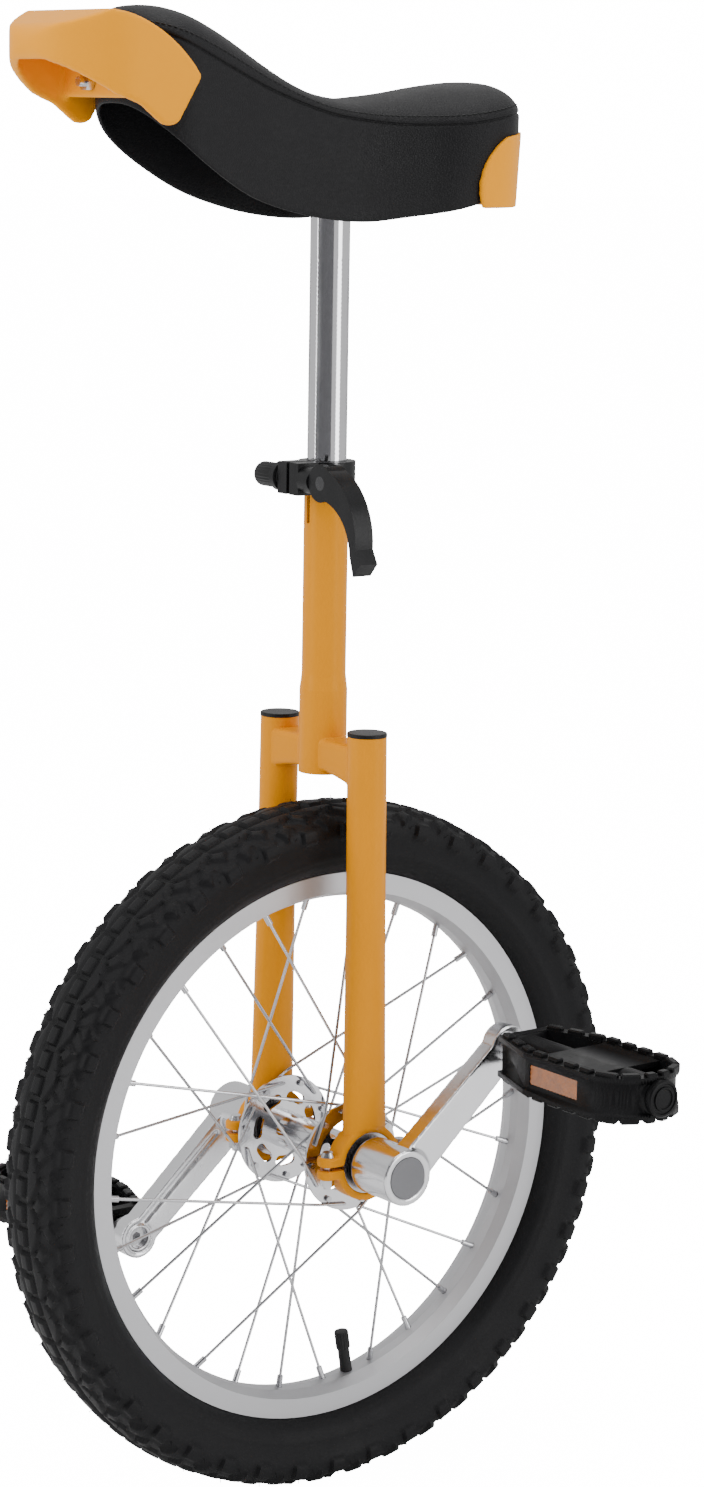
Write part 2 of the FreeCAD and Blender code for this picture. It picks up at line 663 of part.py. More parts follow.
def pedal_body():
    h = PEDAL_HALF_H
    t = PEDAL_PLATE_T
    full = pedal_outline(h, PEDAL_HALF_D)
    hole = pedal_outline(h + 1, PEDAL_HALF_D, -8.0)
    plates = [full.extrude(V(0, 0, t)), moved(full, z=2 * h - t).extrude(V(0, 0, t))]
    wall = pedal_outline(h - 1, PEDAL_HALF_D, -2.0).extrude(V(0, 0, 2 * h - 2))
    inner = pedal_outline(h + 1, PEDAL_HALF_D, -2.0 - PEDAL_WALL).extrude(V(0, 0, 2 * h + 2))
    ring = plates[0].multiFuse([plates[1], wall]).cut(inner)
    ring = ring.cut(hole.extrude(V(0, 0, 2 * h + 2)))
    barrel = cyl_x(PEDAL_BARREL_R, PEDAL_IN_X, PEDAL_OUT_X - 1.0)
    web = block(PEDAL_IN_X + 48.0, PEDAL_OUT_X - 32.0, -PEDAL_HALF_D + 6, PEDAL_HALF_D - 6, -h + 1.5, h - 1.5)
    reach = PEDAL_HALF_D
    web = web.cut(block(PEDAL_IN_X, PEDAL_OUT_X, -reach, reach, 1.5 - h + t, h - 1.5 - t))
    body = ring.multiFuse([barrel, web])
    for side in (-1, 1):
        window = block(WINDOW_IN_X, WINDOW_OUT_X, -2.6, 2.6, -WINDOW_HALF_H, WINDOW_HALF_H)
        body = body.cut(moved(window, y=side * (PEDAL_HALF_D - 2.0)))
    body = body.cut(cyl_x(BALL_TRACK_R, PEDAL_IN_X - 5, PEDAL_OUT_X - 4.0))
    body = body.cut(cyl_x(PEDAL_BORE_R, PEDAL_IN_X - 5, CUP_IN_X))
    return body.cut(cyl_x(PEDAL_BORE_R + 1.0, PEDAL_CAP_X, PEDAL_OUT_X + 5))


def pedal_reflectors():
    half_h = WINDOW_HALF_H - CURVED_GAP
    plate = block(WINDOW_IN_X + CURVED_GAP, WINDOW_OUT_X - CURVED_GAP, -1.0, 1.0, -half_h, half_h)
    return Part.Compound([moved(plate, y=side * (PEDAL_HALF_D - 3.4)) for side in (-1, 1)])


def pedal_end_cap():
    plug = cyl_x(PEDAL_BORE_R + 0.95, PEDAL_CAP_X + 8.0, PEDAL_OUT_X + 0.1)
    head = cyl_x(PEDAL_BARREL_R, PEDAL_OUT_X + 0.05, PEDAL_OUT_X + 4.0)
    return plug.fuse(head).cut(cyl_x(PEDAL_BORE_R - 1.0, PEDAL_CAP_X + 7.0, PEDAL_OUT_X - 1.0))


def pedal_spindle():
    thread = cyl_x(PEDAL_THREAD_R, ARM_IN_X + PEDAL_THREAD_IN, ARM_OUT_X + 0.1)
    flange = cyl_x(PEDAL_FLANGE_R, ARM_OUT_X + 0.05, PEDAL_IN_X - 5.0)
    neck = cyl_x(PEDAL_NECK_R, PEDAL_IN_X - 6.0, CUP_IN_X)
    shaft = cyl_x(PEDAL_AXLE_R, CUP_IN_X - 1.0, PEDAL_CAP_X + 5.0)
    socket = hex_x(KEY_SOCKET, ARM_IN_X, ARM_IN_X + PEDAL_THREAD_IN + 5.0, 0, 0)
    return thread.multiFuse([flange, neck, shaft]).removeSplitter().cut(socket)


def pedal_cone():
    ring = cyl_x(CONE_R, CUP_OUT_X - 3.0, PEDAL_CAP_X - 1.0)
    nut = hex_x(2 * CONE_R - 1.5, PEDAL_CAP_X - 0.9, PEDAL_CAP_X + 3.0, 0, 0)
    return ring.fuse(nut).cut(cyl_x(PEDAL_AXLE_R + FIT_GAP, 0, PEDAL_OUT_X))


def pedal_balls():
    """Two rings of loose balls between the spindle and the barrel's bore."""
    ring_r = BALL_TRACK_R - PEDAL_BALL_R - RUNNING_GAP
    balls = []
    for x in (CUP_IN_X + 4.0, CUP_OUT_X - 6.0):
        for i in range(PEDAL_BALLS):
            balls.append(Part.makeSphere(PEDAL_BALL_R, polar(ring_r, 360.0 / PEDAL_BALLS * i, x)))
    return Part.Compound(balls)


def pedal_offset():
    return polar(CRANK_LENGTH, CRANK_ANGLE)


def left_pedal_place(shape):
    return at_wheel(moved(shape, y=pedal_offset().y, z=pedal_offset().z))


def right_pedal_place(shape):
    return at_wheel(moved(mirrored(shape), y=-pedal_offset().y, z=-pedal_offset().z))


# ---------------------------------------------------------------- frame
CAP_T = 2.5


def leg_section(z, half_x, half_y):
    ellipse = Part.Ellipse(V(), half_y, half_x)
    wire = Part.Wire(ellipse.toShape())
    wire.rotate(V(), Z_DIR, 90)
    wire.translate(V(0, 0, z))
    return wire


def leg_x(z):
    share = (LEG_TOP_Z - z) / (LEG_TOP_Z - LEG_BOTTOM_Z)
    return LEG_TOP_X + (LEG_BOTTOM_X - LEG_TOP_X) * share


def leg_solid(inset):
    """Round at the top, drawn into an oval at the foot."""
    round_low_z = LEG_BOTTOM_Z + LEG_FOOT_LENGTH
    foot_x = LEG_FOOT_HALF_X - inset
    foot_y = LEG_FOOT_HALF_Y - inset
    sections = []
    for z, half_x, half_y in (
            (LEG_TOP_Z, LEG_R - inset, LEG_R - inset + 0.01),
            (round_low_z, LEG_R - inset, LEG_R - inset + 0.01),
            (LEG_BOTTOM_Z - 6.0, foot_x, foot_y)):
        sections.append(moved(leg_section(z, half_x, half_y), x=leg_x(z)))
    return Part.makeLoft(sections, True, True)


def left_leg():
    outer = leg_solid(0.0)
    tube = outer.cut(leg_solid(TUBE_WALL))
    return tube.cut(at_wheel(cyl_x(HOLDER_R + FIT_GAP, 0, 2 * BEARING_X)))


def leg_cap():
    top = cyl_z(LEG_R + 0.2, LEG_TOP_Z + 0.02, LEG_TOP_Z + CAP_T, LEG_TOP_X)
    top = top.makeFillet(0.8, [e for e in top.Edges if e.BoundBox.ZMin > LEG_TOP_Z + CAP_T - 0.1])
    plug = cyl_z(LEG_R - TUBE_WALL - 0.4, LEG_TOP_Z - 9.0, LEG_TOP_Z + 0.1, LEG_TOP_X + 0.07)
    return top.fuse(plug)


def leg_caps():
    return Part.Compound([leg_cap(), mirrored(leg_cap())])


def main_tube():
    outer = cyl_z(MAIN_TUBE_R, CROWN_LOW_Z - 3.0, MAIN_TUBE_TOP_Z)
    sleeve = cyl_z(SLEEVE_R, CROWN_LOW_Z - 3.0, SLEEVE_TOP_Z)
    flare = Part.makeCone(SLEEVE_R, MAIN_TUBE_R, 10.0, V(0, 0, SLEEVE_TOP_Z))
    tube = outer.multiFuse([sleeve, flare]).removeSplitter()
    tube = tube.cut(cyl_z(POST_R + RUNNING_GAP, 0, MAIN_TUBE_TOP_Z + 1))
    slot_low_z = MAIN_TUBE_TOP_Z - SLOT_LENGTH
    slot = block(-SLOT_W / 2, SLOT_W / 2, -MAIN_TUBE_R - 2, 0, slot_low_z, MAIN_TUBE_TOP_Z + 1)
    end = cyl_y(SLOT_W / 2, -MAIN_TUBE_R - 2, 0, 0, slot_low_z)
    return tube.cut(slot.fuse(end))


def crown_arms():
    y = CROWN_HALF_Y
    low = CROWN_LOW_Z - ARCH_DROP
    reach = LEG_TOP_X
    arch = [
        line(V(-reach, -y, CROWN_TOP_Z), V(reach, -y, CROWN_TOP_Z)),
        line(V(reach, -y, CROWN_TOP_Z), V(reach, -y, low)),
        arc(V(reach, -y, low), V(0, -y, CROWN_LOW_Z), V(-reach, -y, low)),
        line(V(-reach, -y, low), V(-reach, -y, CROWN_TOP_Z)),
    ]
    bar = face(arch).extrude(V(0, 2 * y, 0))
    long_edges = [e for e in bar.Edges if e.BoundBox.XLength > reach]
    bar = bar.makeFillet(3.5, long_edges)
    bar = bar.cut(cyl_z(SLEEVE_R + FIT_GAP, 0, SLEEVE_TOP_Z))
    bar = bar.cut(left_leg_outline()).cut(mirrored(left_leg_outline()))
    return bar


def left_leg_outline():
    return leg_solid(-FIT_GAP)


def holder_ring(radius):
    return cyl_x(radius, BEARING_X - HOLDER_HALF_W, BEARING_X + HOLDER_HALF_W)


def holder_blank():
    """Ring round the bearing with a bolted ear in front and behind."""
    x0 = BEARING_X - HOLDER_HALF_W
    x1 = BEARING_X + HOLDER_HALF_W
    ring = holder_ring(HOLDER_R)
    solids = []
    for side in (-1, 1):
        ear = cyl_z(EAR_R, -EAR_T, EAR_T, BEARING_X, side * EAR_Y)
        bridge = block(x0, x1, min(0, side * EAR_Y), max(0, side * EAR_Y), -EAR_T, EAR_T)
        solids += [ear, bridge]
    blank = ring.multiFuse(solids).removeSplitter()
    blank = blank.cut(cyl_x(BEARING_R + FIT_GAP, x0 - 1, x1 + 1))
    for side in (-1, 1):
        blank = blank.cut(cyl_z(HOLDER_BOLT_R + 0.2, -20, 20, BEARING_X, side * EAR_Y))
    return blank


def holder_half(z0, z1):
    """The blank without what lies between two heights."""
    reach = 2 * EAR_Y
    return at_wheel(holder_blank().cut(block(0, 2 * BEARING_X, -reach, reach, z0, z1)))


def left_holder():
    return holder_half(-2 * HOLDER_R, EAR_GAP)


def left_bearing_cap():
    return holder_half(-EAR_GAP, 2 * HOLDER_R)


def holder_bolt(side):
    head_z = EAR_T + 0.02
    head = Part.makeCone(4.6, 3.4, 3.0, V(BEARING_X, side * EAR_Y, head_z))
    shank = cyl_z(HOLDER_BOLT_R, -EAR_T - 6.5, head_z + 1.0, BEARING_X, side * EAR_Y)
    return at_wheel(head.fuse(shank))


def holder_nut(side):
    low = -EAR_T - 4.5
    nut = hex_z(8.0, low, low + 4.48, BEARING_X, side * EAR_Y)
    return at_wheel(nut.cut(cyl_z(HOLDER_BOLT_R + FIT_GAP, -30, 30, BEARING_X, side * EAR_Y)))


def four_of(make):
    left = [make(-1), make(1)]
    return Part.Compound(left + [mirrored(s) for s in left])


# ---------------------------------------------------------------- seat clamp
def clamp_collar():
    ring = cyl_z(COLLAR_R, COLLAR_LOW_Z, COLLAR_TOP_Z)
    ears = block(-CLAMP_EAR_HALF_X, CLAMP_EAR_HALF_X, CLAMP_Y - 7.0, 0, COLLAR_LOW_Z, COLLAR_TOP_Z)
    body = ring.fuse(ears)
    body = body.cut(cyl_z(MAIN_TUBE_R + RUNNING_GAP, 0, MAIN_TUBE_TOP_Z + 0.1))
    body = body.cut(cyl_z(POST_R + CURVED_GAP, 0, COLLAR_TOP_Z + 1))
    body = body.cut(block(-SLOT_W / 2, SLOT_W / 2, 2 * CLAMP_Y, 0, 0, COLLAR_TOP_Z + 1))
    reach = 2 * CLAMP_EAR_HALF_X
    return body.cut(cyl_x(SKEWER_R + 0.2, -reach, reach, CLAMP_Y, CLAMP_Z))


NUT_IN_X = -CLAMP_EAR_HALF_X - 1.7
NUT_LENGTH = 24.0
NUT_R = 8.0
CAM_R = 12.0
CAM_WASHER_R = 8.5
NUT_WASHER_T = 1.4
PIVOT_R = 4.5


def clamp_skewer():
    rod_part = cyl_x(SKEWER_R, NUT_IN_X - NUT_LENGTH + 4.0, LEVER_PIVOT_X - 2.0, CLAMP_Y, CLAMP_Z)
    w = LEVER_EYE_HALF_W
    eye = cyl_y(PIVOT_R + 2.0, CLAMP_Y - w, CLAMP_Y + w, LEVER_PIVOT_X, CLAMP_Z)
    hole = cyl_y(PIVOT_R + FIT_GAP, CLAMP_Y - 2 * w, CLAMP_Y + 2 * w, LEVER_PIVOT_X, CLAMP_Z)
    return rod_part.fuse(eye).cut(hole)


def clamp_nut():
    x0 = NUT_IN_X - NUT_LENGTH
    body = cyl_x(NUT_R, x0, NUT_IN_X - 5.0, CLAMP_Y, CLAMP_Z)
    body = body.makeFillet(1.5, [e for e in body.Edges if e.BoundBox.XMax < x0 + 0.1])
    collar = cyl_x(NUT_R + 1.5, NUT_IN_X - 5.2, NUT_IN_X, CLAMP_Y, CLAMP_Z)
    bore = cyl_x(SKEWER_R + RUNNING_GAP, x0 + 3.0, 0, CLAMP_Y, CLAMP_Z)
    return body.fuse(collar).cut(bore)


def clamp_washers():
    """Plain washer under the nut and a hollow-faced washer that the lever's cam bears on."""
    x0 = CLAMP_EAR_HALF_X + 0.05
    hollow = cyl_y(CAM_R + CURVED_GAP, CLAMP_Y - 30, CLAMP_Y + 30, LEVER_PIVOT_X, CLAMP_Z)
    seat = cyl_x(CAM_WASHER_R, x0, LEVER_PIVOT_X - 9.5, CLAMP_Y, CLAMP_Z).cut(hollow)
    flat = cyl_x(CAM_WASHER_R - 1.0, -x0 - NUT_WASHER_T, -x0, CLAMP_Y, CLAMP_Z)
    bore = cyl_x(SKEWER_R + 0.1, -60, 60, CLAMP_Y, CLAMP_Z)
    return Part.Compound([seat.cut(bore), flat.cut(bore)])


def clamp_pivot_pin():
    return cyl_y(PIVOT_R, CLAMP_Y - LEVER_HALF_W, CLAMP_Y + LEVER_HALF_W, LEVER_PIVOT_X, CLAMP_Z)


def clamp_lever():
    """Cam head round the pivot and a curved blade that hangs beside the tube."""
    y0 = CLAMP_Y - LEVER_HALF_W
    px = LEVER_PIVOT_X
    pz = CLAMP_Z
    blade = face([
        arc(V(px + 4, y0, pz + CAM_R - 2), V(px + 32, y0, pz - 12), V(px + 38, y0, pz - 38)),
        line(V(px + 38, y0, pz - 38), V(px + 43, y0, pz - 47)),
        line(V(px + 43, y0, pz - 47), V(px + 36, y0, pz - 55)),
        line(V(px + 36, y0, pz - 55), V(px + 32, y0, pz - 42)),
        arc(V(px + 32, y0, pz - 42), V(px + 24, y0, pz - 22), V(px - 4, y0, pz - CAM_R + 2)),
        line(V(px - 4, y0, pz - CAM_R + 2), V(px + 4, y0, pz + CAM_R - 2)),
    ]).extrude(V(0, 2 * LEVER_HALF_W, 0))
    head = cyl_y(CAM_R, y0, y0 + 2 * LEVER_HALF_W, px, pz)
    body = blade.fuse(head)
    t0 = CLAMP_Y - THROAT_HALF_W
    t1 = CLAMP_Y + THROAT_HALF_W
    throat = cyl_y(PIVOT_R + 4.0, t0, t1, px, pz)
    throat = throat.fuse(block(0, px, t0, t1, pz - CAM_R - 2.0, pz + CAM_R + 2.0))
    throat = throat.fuse(block(px - 1, px + PIVOT_R, t0, t1, pz, pz + CAM_R + 4.0))
    return body.cut(throat).cut(cyl_y(PIVOT_R + RUNNING_GAP, y0 - 1, y0 + 20, px, pz))


# ---------------------------------------------------------------- saddle
def seat_post():
    post = cyl_z(POST_R, POST_BOTTOM_Z, PLATE_Z)
    return post.cut(cyl_z(POST_R - POST_WALL, POST_BOTTOM_Z - 1, PLATE_Z - 4.0))


def bolt_places():
    return [(sx * SEAT_BOLT_X, y) for sx in (-1, 1) for y in SEAT_BOLT_Y]


def seat_plate():
    plate = block(-PLATE_HALF_X, PLATE_HALF_X, PLATE_FRONT_Y, PLATE_REAR_Y, PLATE_Z, PLATE_Z + PLATE_T)
    plate = plate.makeFillet(8.0, [e for e in plate.Edges if e.BoundBox.ZLength > PLATE_T - 0.1])
    for x, y in bolt_places():
        plate = plate.cut(cyl_z(SEAT_BOLT_R + 0.3, PLATE_Z - 1, PLATE_Z + PLATE_T + 1, x, y))
    return plate


PAD_TOP_Z = PLATE_Z + PLATE_T + 9.0


def seat_studs():
    low = PLATE_Z - 8.0
    return Part.Compound([cyl_z(SEAT_BOLT_R, low, PAD_TOP_Z - 3.0, x, y) for x, y in bolt_places()])


def seat_nuts():
    nuts = []
    for x, y in bolt_places():
        nut = hex_z(10.0, PLATE_Z - 5.5, PLATE_Z - 0.02, x, y)
        nuts.append(nut.cut(cyl_z(SEAT_BOLT_R + FIT_GAP, PLATE_Z - 10, PLATE_Z, x, y)))
    return Part.Compound(nuts)


def saddle_section(y, half_seam, top, seam, half_low, low):
    edges = [
        arc(V(-half_seam, y, seam), V(0, y, top), V(half_seam, y, seam)),
        line(V(half_seam, y, seam), V(half_low, y, low)),
        line(V(half_low, y, low), V(-half_low, y, low)),
        line(V(-half_low, y, low), V(-half_seam, y, seam)),
    ]
    return Part.Wire(edges)


def end_inset(y, inset):
    """The first and last stations moved in by inset, and the others where they are."""
    if y == NOSE_Y:
        return y + inset
    return y - inset if y == TAIL_Y else y


def saddle_loft(inset, top_drop, low_drop=None, depth=None):
    """Solid through the saddle's stations, drawn in by inset at the sides and ends."""
    sections = []
    for y, half_seam, half_low, top, seam, low in SADDLE_STATIONS:
        upper = PLATE_Z + top - top_drop
        edge = PLATE_Z + seam - top_drop
        bottom = edge - depth if depth is not None else PLATE_Z + low - low_drop
        share = (edge - bottom) / (seam - low)
        foot = half_seam + (half_low - half_seam) * share
        y = end_inset(y, inset)
        sections.append(saddle_section(y, half_seam - inset, upper, edge, foot - inset, bottom))
    return Part.makeLoft(sections, True, False)


def slab_loft(end_gap, side_inset, drop, thickness):
    """Flat-topped slab that follows the seam, drop below it."""
    sections = []
    for y, half_seam, half_low, top, seam, low in SADDLE_STATIONS:
        y = end_inset(y, end_gap)
        half = half_seam - side_inset
        z1 = PLATE_Z + seam - drop
        z0 = z1 - thickness
        corners = [V(-half, y, z1), V(half, y, z1), V(half, y, z0), V(-half, y, z0), V(-half, y, z1)]
        sections.append(Part.makePolygon(corners))
    return Part.makeLoft(sections, True, False)


FOAM_LIP = 4.0
BASE_DROP = COVER_T + 2 * SOFT_GAP + FOAM_LIP


def nose_holes(r):
    holes = [cyl_y(r, NOSE_Y - 30, NOSE_Y + 20, sx * NOSE_BOLT_X, NOSE_BOLT_Z) for sx in (-1, 1)]
    return Part.Compound(holes)


def seat_cover():
    shell = saddle_loft(0.0, 0.0, 0.0).cut(saddle_loft(COVER_T, COVER_T, 12.0))
    return shell.cut(nose_holes(NOSE_BOLT_R + 0.3))


def seat_foam():
    return saddle_loft(COVER_T + SOFT_GAP, COVER_T + SOFT_GAP, depth=FOAM_LIP)


def seat_base():
    gap = COVER_T + SOFT_GAP
    slab = slab_loft(gap + 1.0, gap + 1.0, BASE_DROP, BASE_T)
    above = slab_loft(gap, -20.0, BASE_DROP - 60.0, 60.0)
    pad = block(-PLATE_HALF_X, PLATE_HALF_X, PLATE_FRONT_Y, PLATE_REAR_Y, PLATE_Z + PLATE_T + FIT_GAP, PLATE_Z + 40)
    nose = block(-22, 22, NOSE_Y + gap + 0.5, NOSE_Y + 18, NOSE_BOLT_Z - 8, NOSE_BOLT_Z + 40)
    base = slab.multiFuse([pad.cut(above), nose.cut(above)])
    for x, y in bolt_places():
        base = base.cut(cyl_z(SEAT_BOLT_R + FIT_GAP, PLATE_Z, PAD_TOP_Z - 3.0, x, y))
    return base.cut(nose_holes(NOSE_BOLT_R + FIT_GAP))


def yz_prism(edges, half_x):
    return moved(face(edges), x=-half_x).extrude(V(2 * half_x, 0, 0))


def yz(y, z):
    return V(0, y, z)


def handle_profile(inset, low):
    """Side view of the front handle: inset from the top and front, cut off low behind the nose."""
    top = HANDLE_TOP_Z - inset
    front = HANDLE_FRONT_Y + inset
    rear = HANDLE_REAR_Y
    return [
        arc(yz(rear, top - 38), yz(rear - 19, top - 18), yz(rear - 62, top)),
        line(yz(rear - 62, top), yz(front + 11, top - 8)),
        arc(yz(front + 11, top - 8), yz(front, top - 20), yz(front + 7, top - 32)),
        line(yz(front + 7, top - 32), yz(rear - 59, low + 18)),
        line(yz(rear - 59, low + 18), yz(rear - 43, low + 12)),
        line(yz(rear - 43, low + 12), yz(rear - 31, low + 3)),
        arc(yz(rear - 31, low + 3), yz(rear - 23, low), yz(rear - 16, low + 3)),
        line(yz(rear - 16, low + 3), yz(rear, top - 38)),
    ]


def handle_plan(inset):
    """Plan of the handle: straight sides and a round front, as a tall prism."""
    h = HANDLE_HALF_X - inset
    front = HANDLE_FRONT_Y + inset
    side_y = HANDLE_FRONT_Y + 55.0
    mid = V(h * 0.78, HANDLE_FRONT_Y + 17.0 + inset, 0)
    rear = HANDLE_REAR_Y + 10.0
    edges = [
        line(V(h, rear, 0), V(h, side_y, 0)),
        arc(V(h, side_y, 0), mid, V(h * 0.3, front + 1.2, 0)),
        arc(V(h * 0.3, front + 1.2, 0), V(0, front, 0), V(-h * 0.3, front + 1.2, 0)),
        arc(V(-h * 0.3, front + 1.2, 0), V(-mid.x, mid.y, 0), V(-h, side_y, 0)),
        line(V(-h, side_y, 0), V(-h, rear, 0)),
        line(V(-h, rear, 0), V(h, rear, 0)),
    ]
    return moved(face(edges), z=BUMPER_LOW_Z).extrude(V(0, 0, HANDLE_TOP_Z + 10 - BUMPER_LOW_Z))


def front_handle():
    outer = yz_prism(handle_profile(0.0, HANDLE_TIP_Z), 80).common(handle_plan(0.0))
    hollow = yz_prism(handle_profile(HANDLE_WALL, HANDLE_TIP_Z - 50), 80).common(handle_plan(HANDLE_WALL))
    shell = outer.cut(hollow)
    bulkhead = block(-HANDLE_HALF_X + 2, HANDLE_HALF_X - 2, NOSE_Y - SOFT_GAP - BULKHEAD_T, NOSE_Y - SOFT_GAP,
                     NOSE_BOLT_Z - 10, HANDLE_TOP_Z - 2)
    shell = shell.fuse(bulkhead.common(outer))
    body = saddle_loft(-SOFT_GAP, -SOFT_GAP, 60.0)
    return shell.cut(body).cut(nose_holes(NOSE_BOLT_R + 0.3))


def handle_bolts():
    y0 = NOSE_Y - SOFT_GAP - BULKHEAD_T - 9.0
    return Part.Compound([cyl_y(NOSE_BOLT_R, y0, NOSE_Y + 17, sx * NOSE_BOLT_X, NOSE_BOLT_Z) for sx in (-1, 1)])


def handle_nuts():
    nuts = []
    y1 = NOSE_Y - SOFT_GAP - BULKHEAD_T - 0.02
    for sx in (-1, 1):
        nut = hex_z(10.0, 0, 5.0, 0, 0)
        nut.rotate(V(), X_DIR, 90)
        nut = moved(nut, sx * NOSE_BOLT_X, y1, NOSE_BOLT_Z)
        nuts.append(nut.cut(nose_holes(NOSE_BOLT_R + FIT_GAP)))
    return Part.Compound(nuts)


def rear_bumper():
    outer = saddle_loft(-SOFT_GAP - BUMPER_WALL, 0.0, 20.0)
    inner = saddle_loft(-SOFT_GAP, -SOFT_GAP, 24.0)
    z0 = BUMPER_LOW_Z
    z1 = BUMPER_TOP_Z
    side = [
        line(yz(TAIL_Y + 20, z0), yz(BUMPER_FRONT_Y + 4, z0)),
        arc(yz(BUMPER_FRONT_Y + 4, z0), yz(BUMPER_FRONT_Y, z0 + 22), yz(BUMPER_FRONT_Y + 18, z1 - 7)),
        line(yz(BUMPER_FRONT_Y + 18, z1 - 7), yz(TAIL_Y + 20, z1)),
        line(yz(TAIL_Y + 20, z1), yz(TAIL_Y + 20, z0)),
    ]
    return outer.cut(inner).common(yz_prism(side, 90))


# ---------------------------------------------------------------- write every piece
def main():
    os.makedirs("parts", exist_ok=True)
    save("tyre", tyre())
    save("inner_tube", inner_tube())
    save("valve_stem", valve_stem())
    save("valve_cap", valve_cap())
    save("rim", rim())
    save("rim_tape", rim_tape())
    save("spokes_left", spokes(1))
    save("spokes_right", spokes(-1))
    save("nipples", nipples())
    save("hub_barrel", hub_barrel())
    save("hub_flanges", Part.Compound([hub_flange(1), hub_flange(-1)]))
    save("hub_spindle", hub_spindle())
    save("bearing_inner_rings", bearing_inner_rings())
    save("bearing_outer_rings", bearing_outer_rings())
    save("bearing_balls", bearing_balls())
    save("bearing_shields", bearing_shields())
    save("crank_left", left_crank_place(crank_local()))
    save("crank_right", right_crank_place(crank_local()))
    save("crank_bolts", both_ends(crank_bolt()))
    save("dust_caps", both_ends(dust_cap()))
    for name, make in (("body", pedal_body), ("reflectors", pedal_reflectors), ("end_cap", pedal_end_cap),
                       ("spindle", pedal_spindle), ("balls", pedal_balls), ("cone", pedal_cone)):
        shape = make()
        save("pedal_" + name + "_left", left_pedal_place(shape))
        save("pedal_" + name + "_right", right_pedal_place(shape))
    save("main_tube", main_tube())
    save("crown_arms", crown_arms())
    save("leg_left", left_leg())
    save("leg_right", mirrored(left_leg()))
    save("leg_caps", leg_caps())
    save("bearing_holder_left", left_holder())
    save("bearing_holder_right", mirrored(left_holder()))
    save("bearing_cap_left", left_bearing_cap())
    save("bearing_cap_right", mirrored(left_bearing_cap()))
    save("holder_bolts", four_of(holder_bolt))
    save("holder_nuts", four_of(holder_nut))
    save("clamp_collar", clamp_collar())
    save("clamp_skewer", clamp_skewer())
    save("clamp_nut", clamp_nut())
    save("clamp_washers", clamp_washers())
    save("clamp_pivot_pin", clamp_pivot_pin())
    save("clamp_lever", clamp_lever())
    save("seat_post", seat_post())
    save("seat_plate", seat_plate())
    save("seat_studs", seat_studs())
    save("seat_nuts", seat_nuts())
    save("seat_base", seat_base())
    save("seat_foam", seat_foam())
    save("seat_cover", seat_cover())
    save("front_handle", front_handle())
    save("handle_bolts", handle_bolts())
    save("handle_nuts", handle_nuts())
    save("rear_bumper", rear_bumper())


main()
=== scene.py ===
"""Looks of an 18 inch unicycle, laid out as an add-on and run as a script.

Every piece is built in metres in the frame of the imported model: +Z up, the wheel's axle along X,
the rider facing -Y.
"""
import json
import math

import bmesh
import bpy
from mathutils import Matrix, Vector


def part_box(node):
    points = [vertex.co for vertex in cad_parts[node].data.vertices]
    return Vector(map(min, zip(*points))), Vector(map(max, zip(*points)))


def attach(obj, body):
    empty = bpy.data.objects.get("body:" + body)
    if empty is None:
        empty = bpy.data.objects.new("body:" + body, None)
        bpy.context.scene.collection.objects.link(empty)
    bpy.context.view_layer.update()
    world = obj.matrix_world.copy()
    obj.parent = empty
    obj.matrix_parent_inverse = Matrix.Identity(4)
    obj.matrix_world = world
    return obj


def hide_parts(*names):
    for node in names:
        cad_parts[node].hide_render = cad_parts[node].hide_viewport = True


bl_info = {
    "name": "Unicycle looks",
    "version": (1, 0, 0),
    "blender": (4, 5, 0),
    "location": "View3D > Sidebar > Unicycle",
    "description": "Builds the tread, saddle, plastics, castings and finishes of a unicycle",
    "category": "Object",
}

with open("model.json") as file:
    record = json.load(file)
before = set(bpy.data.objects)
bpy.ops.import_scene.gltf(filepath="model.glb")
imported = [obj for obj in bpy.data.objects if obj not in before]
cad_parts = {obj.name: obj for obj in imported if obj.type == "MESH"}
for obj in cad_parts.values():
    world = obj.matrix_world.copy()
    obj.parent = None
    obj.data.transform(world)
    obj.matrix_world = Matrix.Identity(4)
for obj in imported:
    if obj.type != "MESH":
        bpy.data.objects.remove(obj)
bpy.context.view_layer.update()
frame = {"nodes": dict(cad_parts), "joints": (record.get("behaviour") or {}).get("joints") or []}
cad_nodes = frame["nodes"]
MM = 0.001


def joint_place(name):
    """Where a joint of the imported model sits."""
    return Vector(next(j["pos_m"] for j in frame["joints"] if j["name"] == name))


AXLE = joint_place("wheel_spin")
LEFT_PEDAL = joint_place("pedal_left_spin")
RIGHT_PEDAL = joint_place("pedal_right_spin")


# ---------------------------------------------------------------- sizes and colours to change
class UNICYCLE_PG_tyre(bpy.types.PropertyGroup):
    pitches: bpy.props.IntProperty(
        name="Tread pitches", description="How often the tread repeats round the wheel",
        default=44, min=20, max=60)
    knob_height: bpy.props.FloatProperty(
        name="Knob height", description="Height of the middle knobs above the casing",
        default=3.0 * MM, unit="LENGTH")
    rubber: bpy.props.FloatVectorProperty(
        name="Rubber", description="Colour of the tyre", default=(0.0045, 0.0045, 0.005),
        size=3, min=0, max=1, subtype="COLOR")


class UNICYCLE_PG_saddle(bpy.types.PropertyGroup):
    stitch_length: bpy.props.FloatProperty(
        name="Stitch", description="Length of one stitch along the seam",
        default=3.6 * MM, unit="LENGTH")
    crown: bpy.props.FloatProperty(
        name="Crown", description="How full the top panel is across the saddle",
        default=2.4, min=1.5, max=4.0)
    vinyl: bpy.props.FloatVectorProperty(
        name="Vinyl", description="Colour of the saddle's cover", default=(0.0055, 0.0055, 0.0062),
        size=3, min=0, max=1, subtype="COLOR")


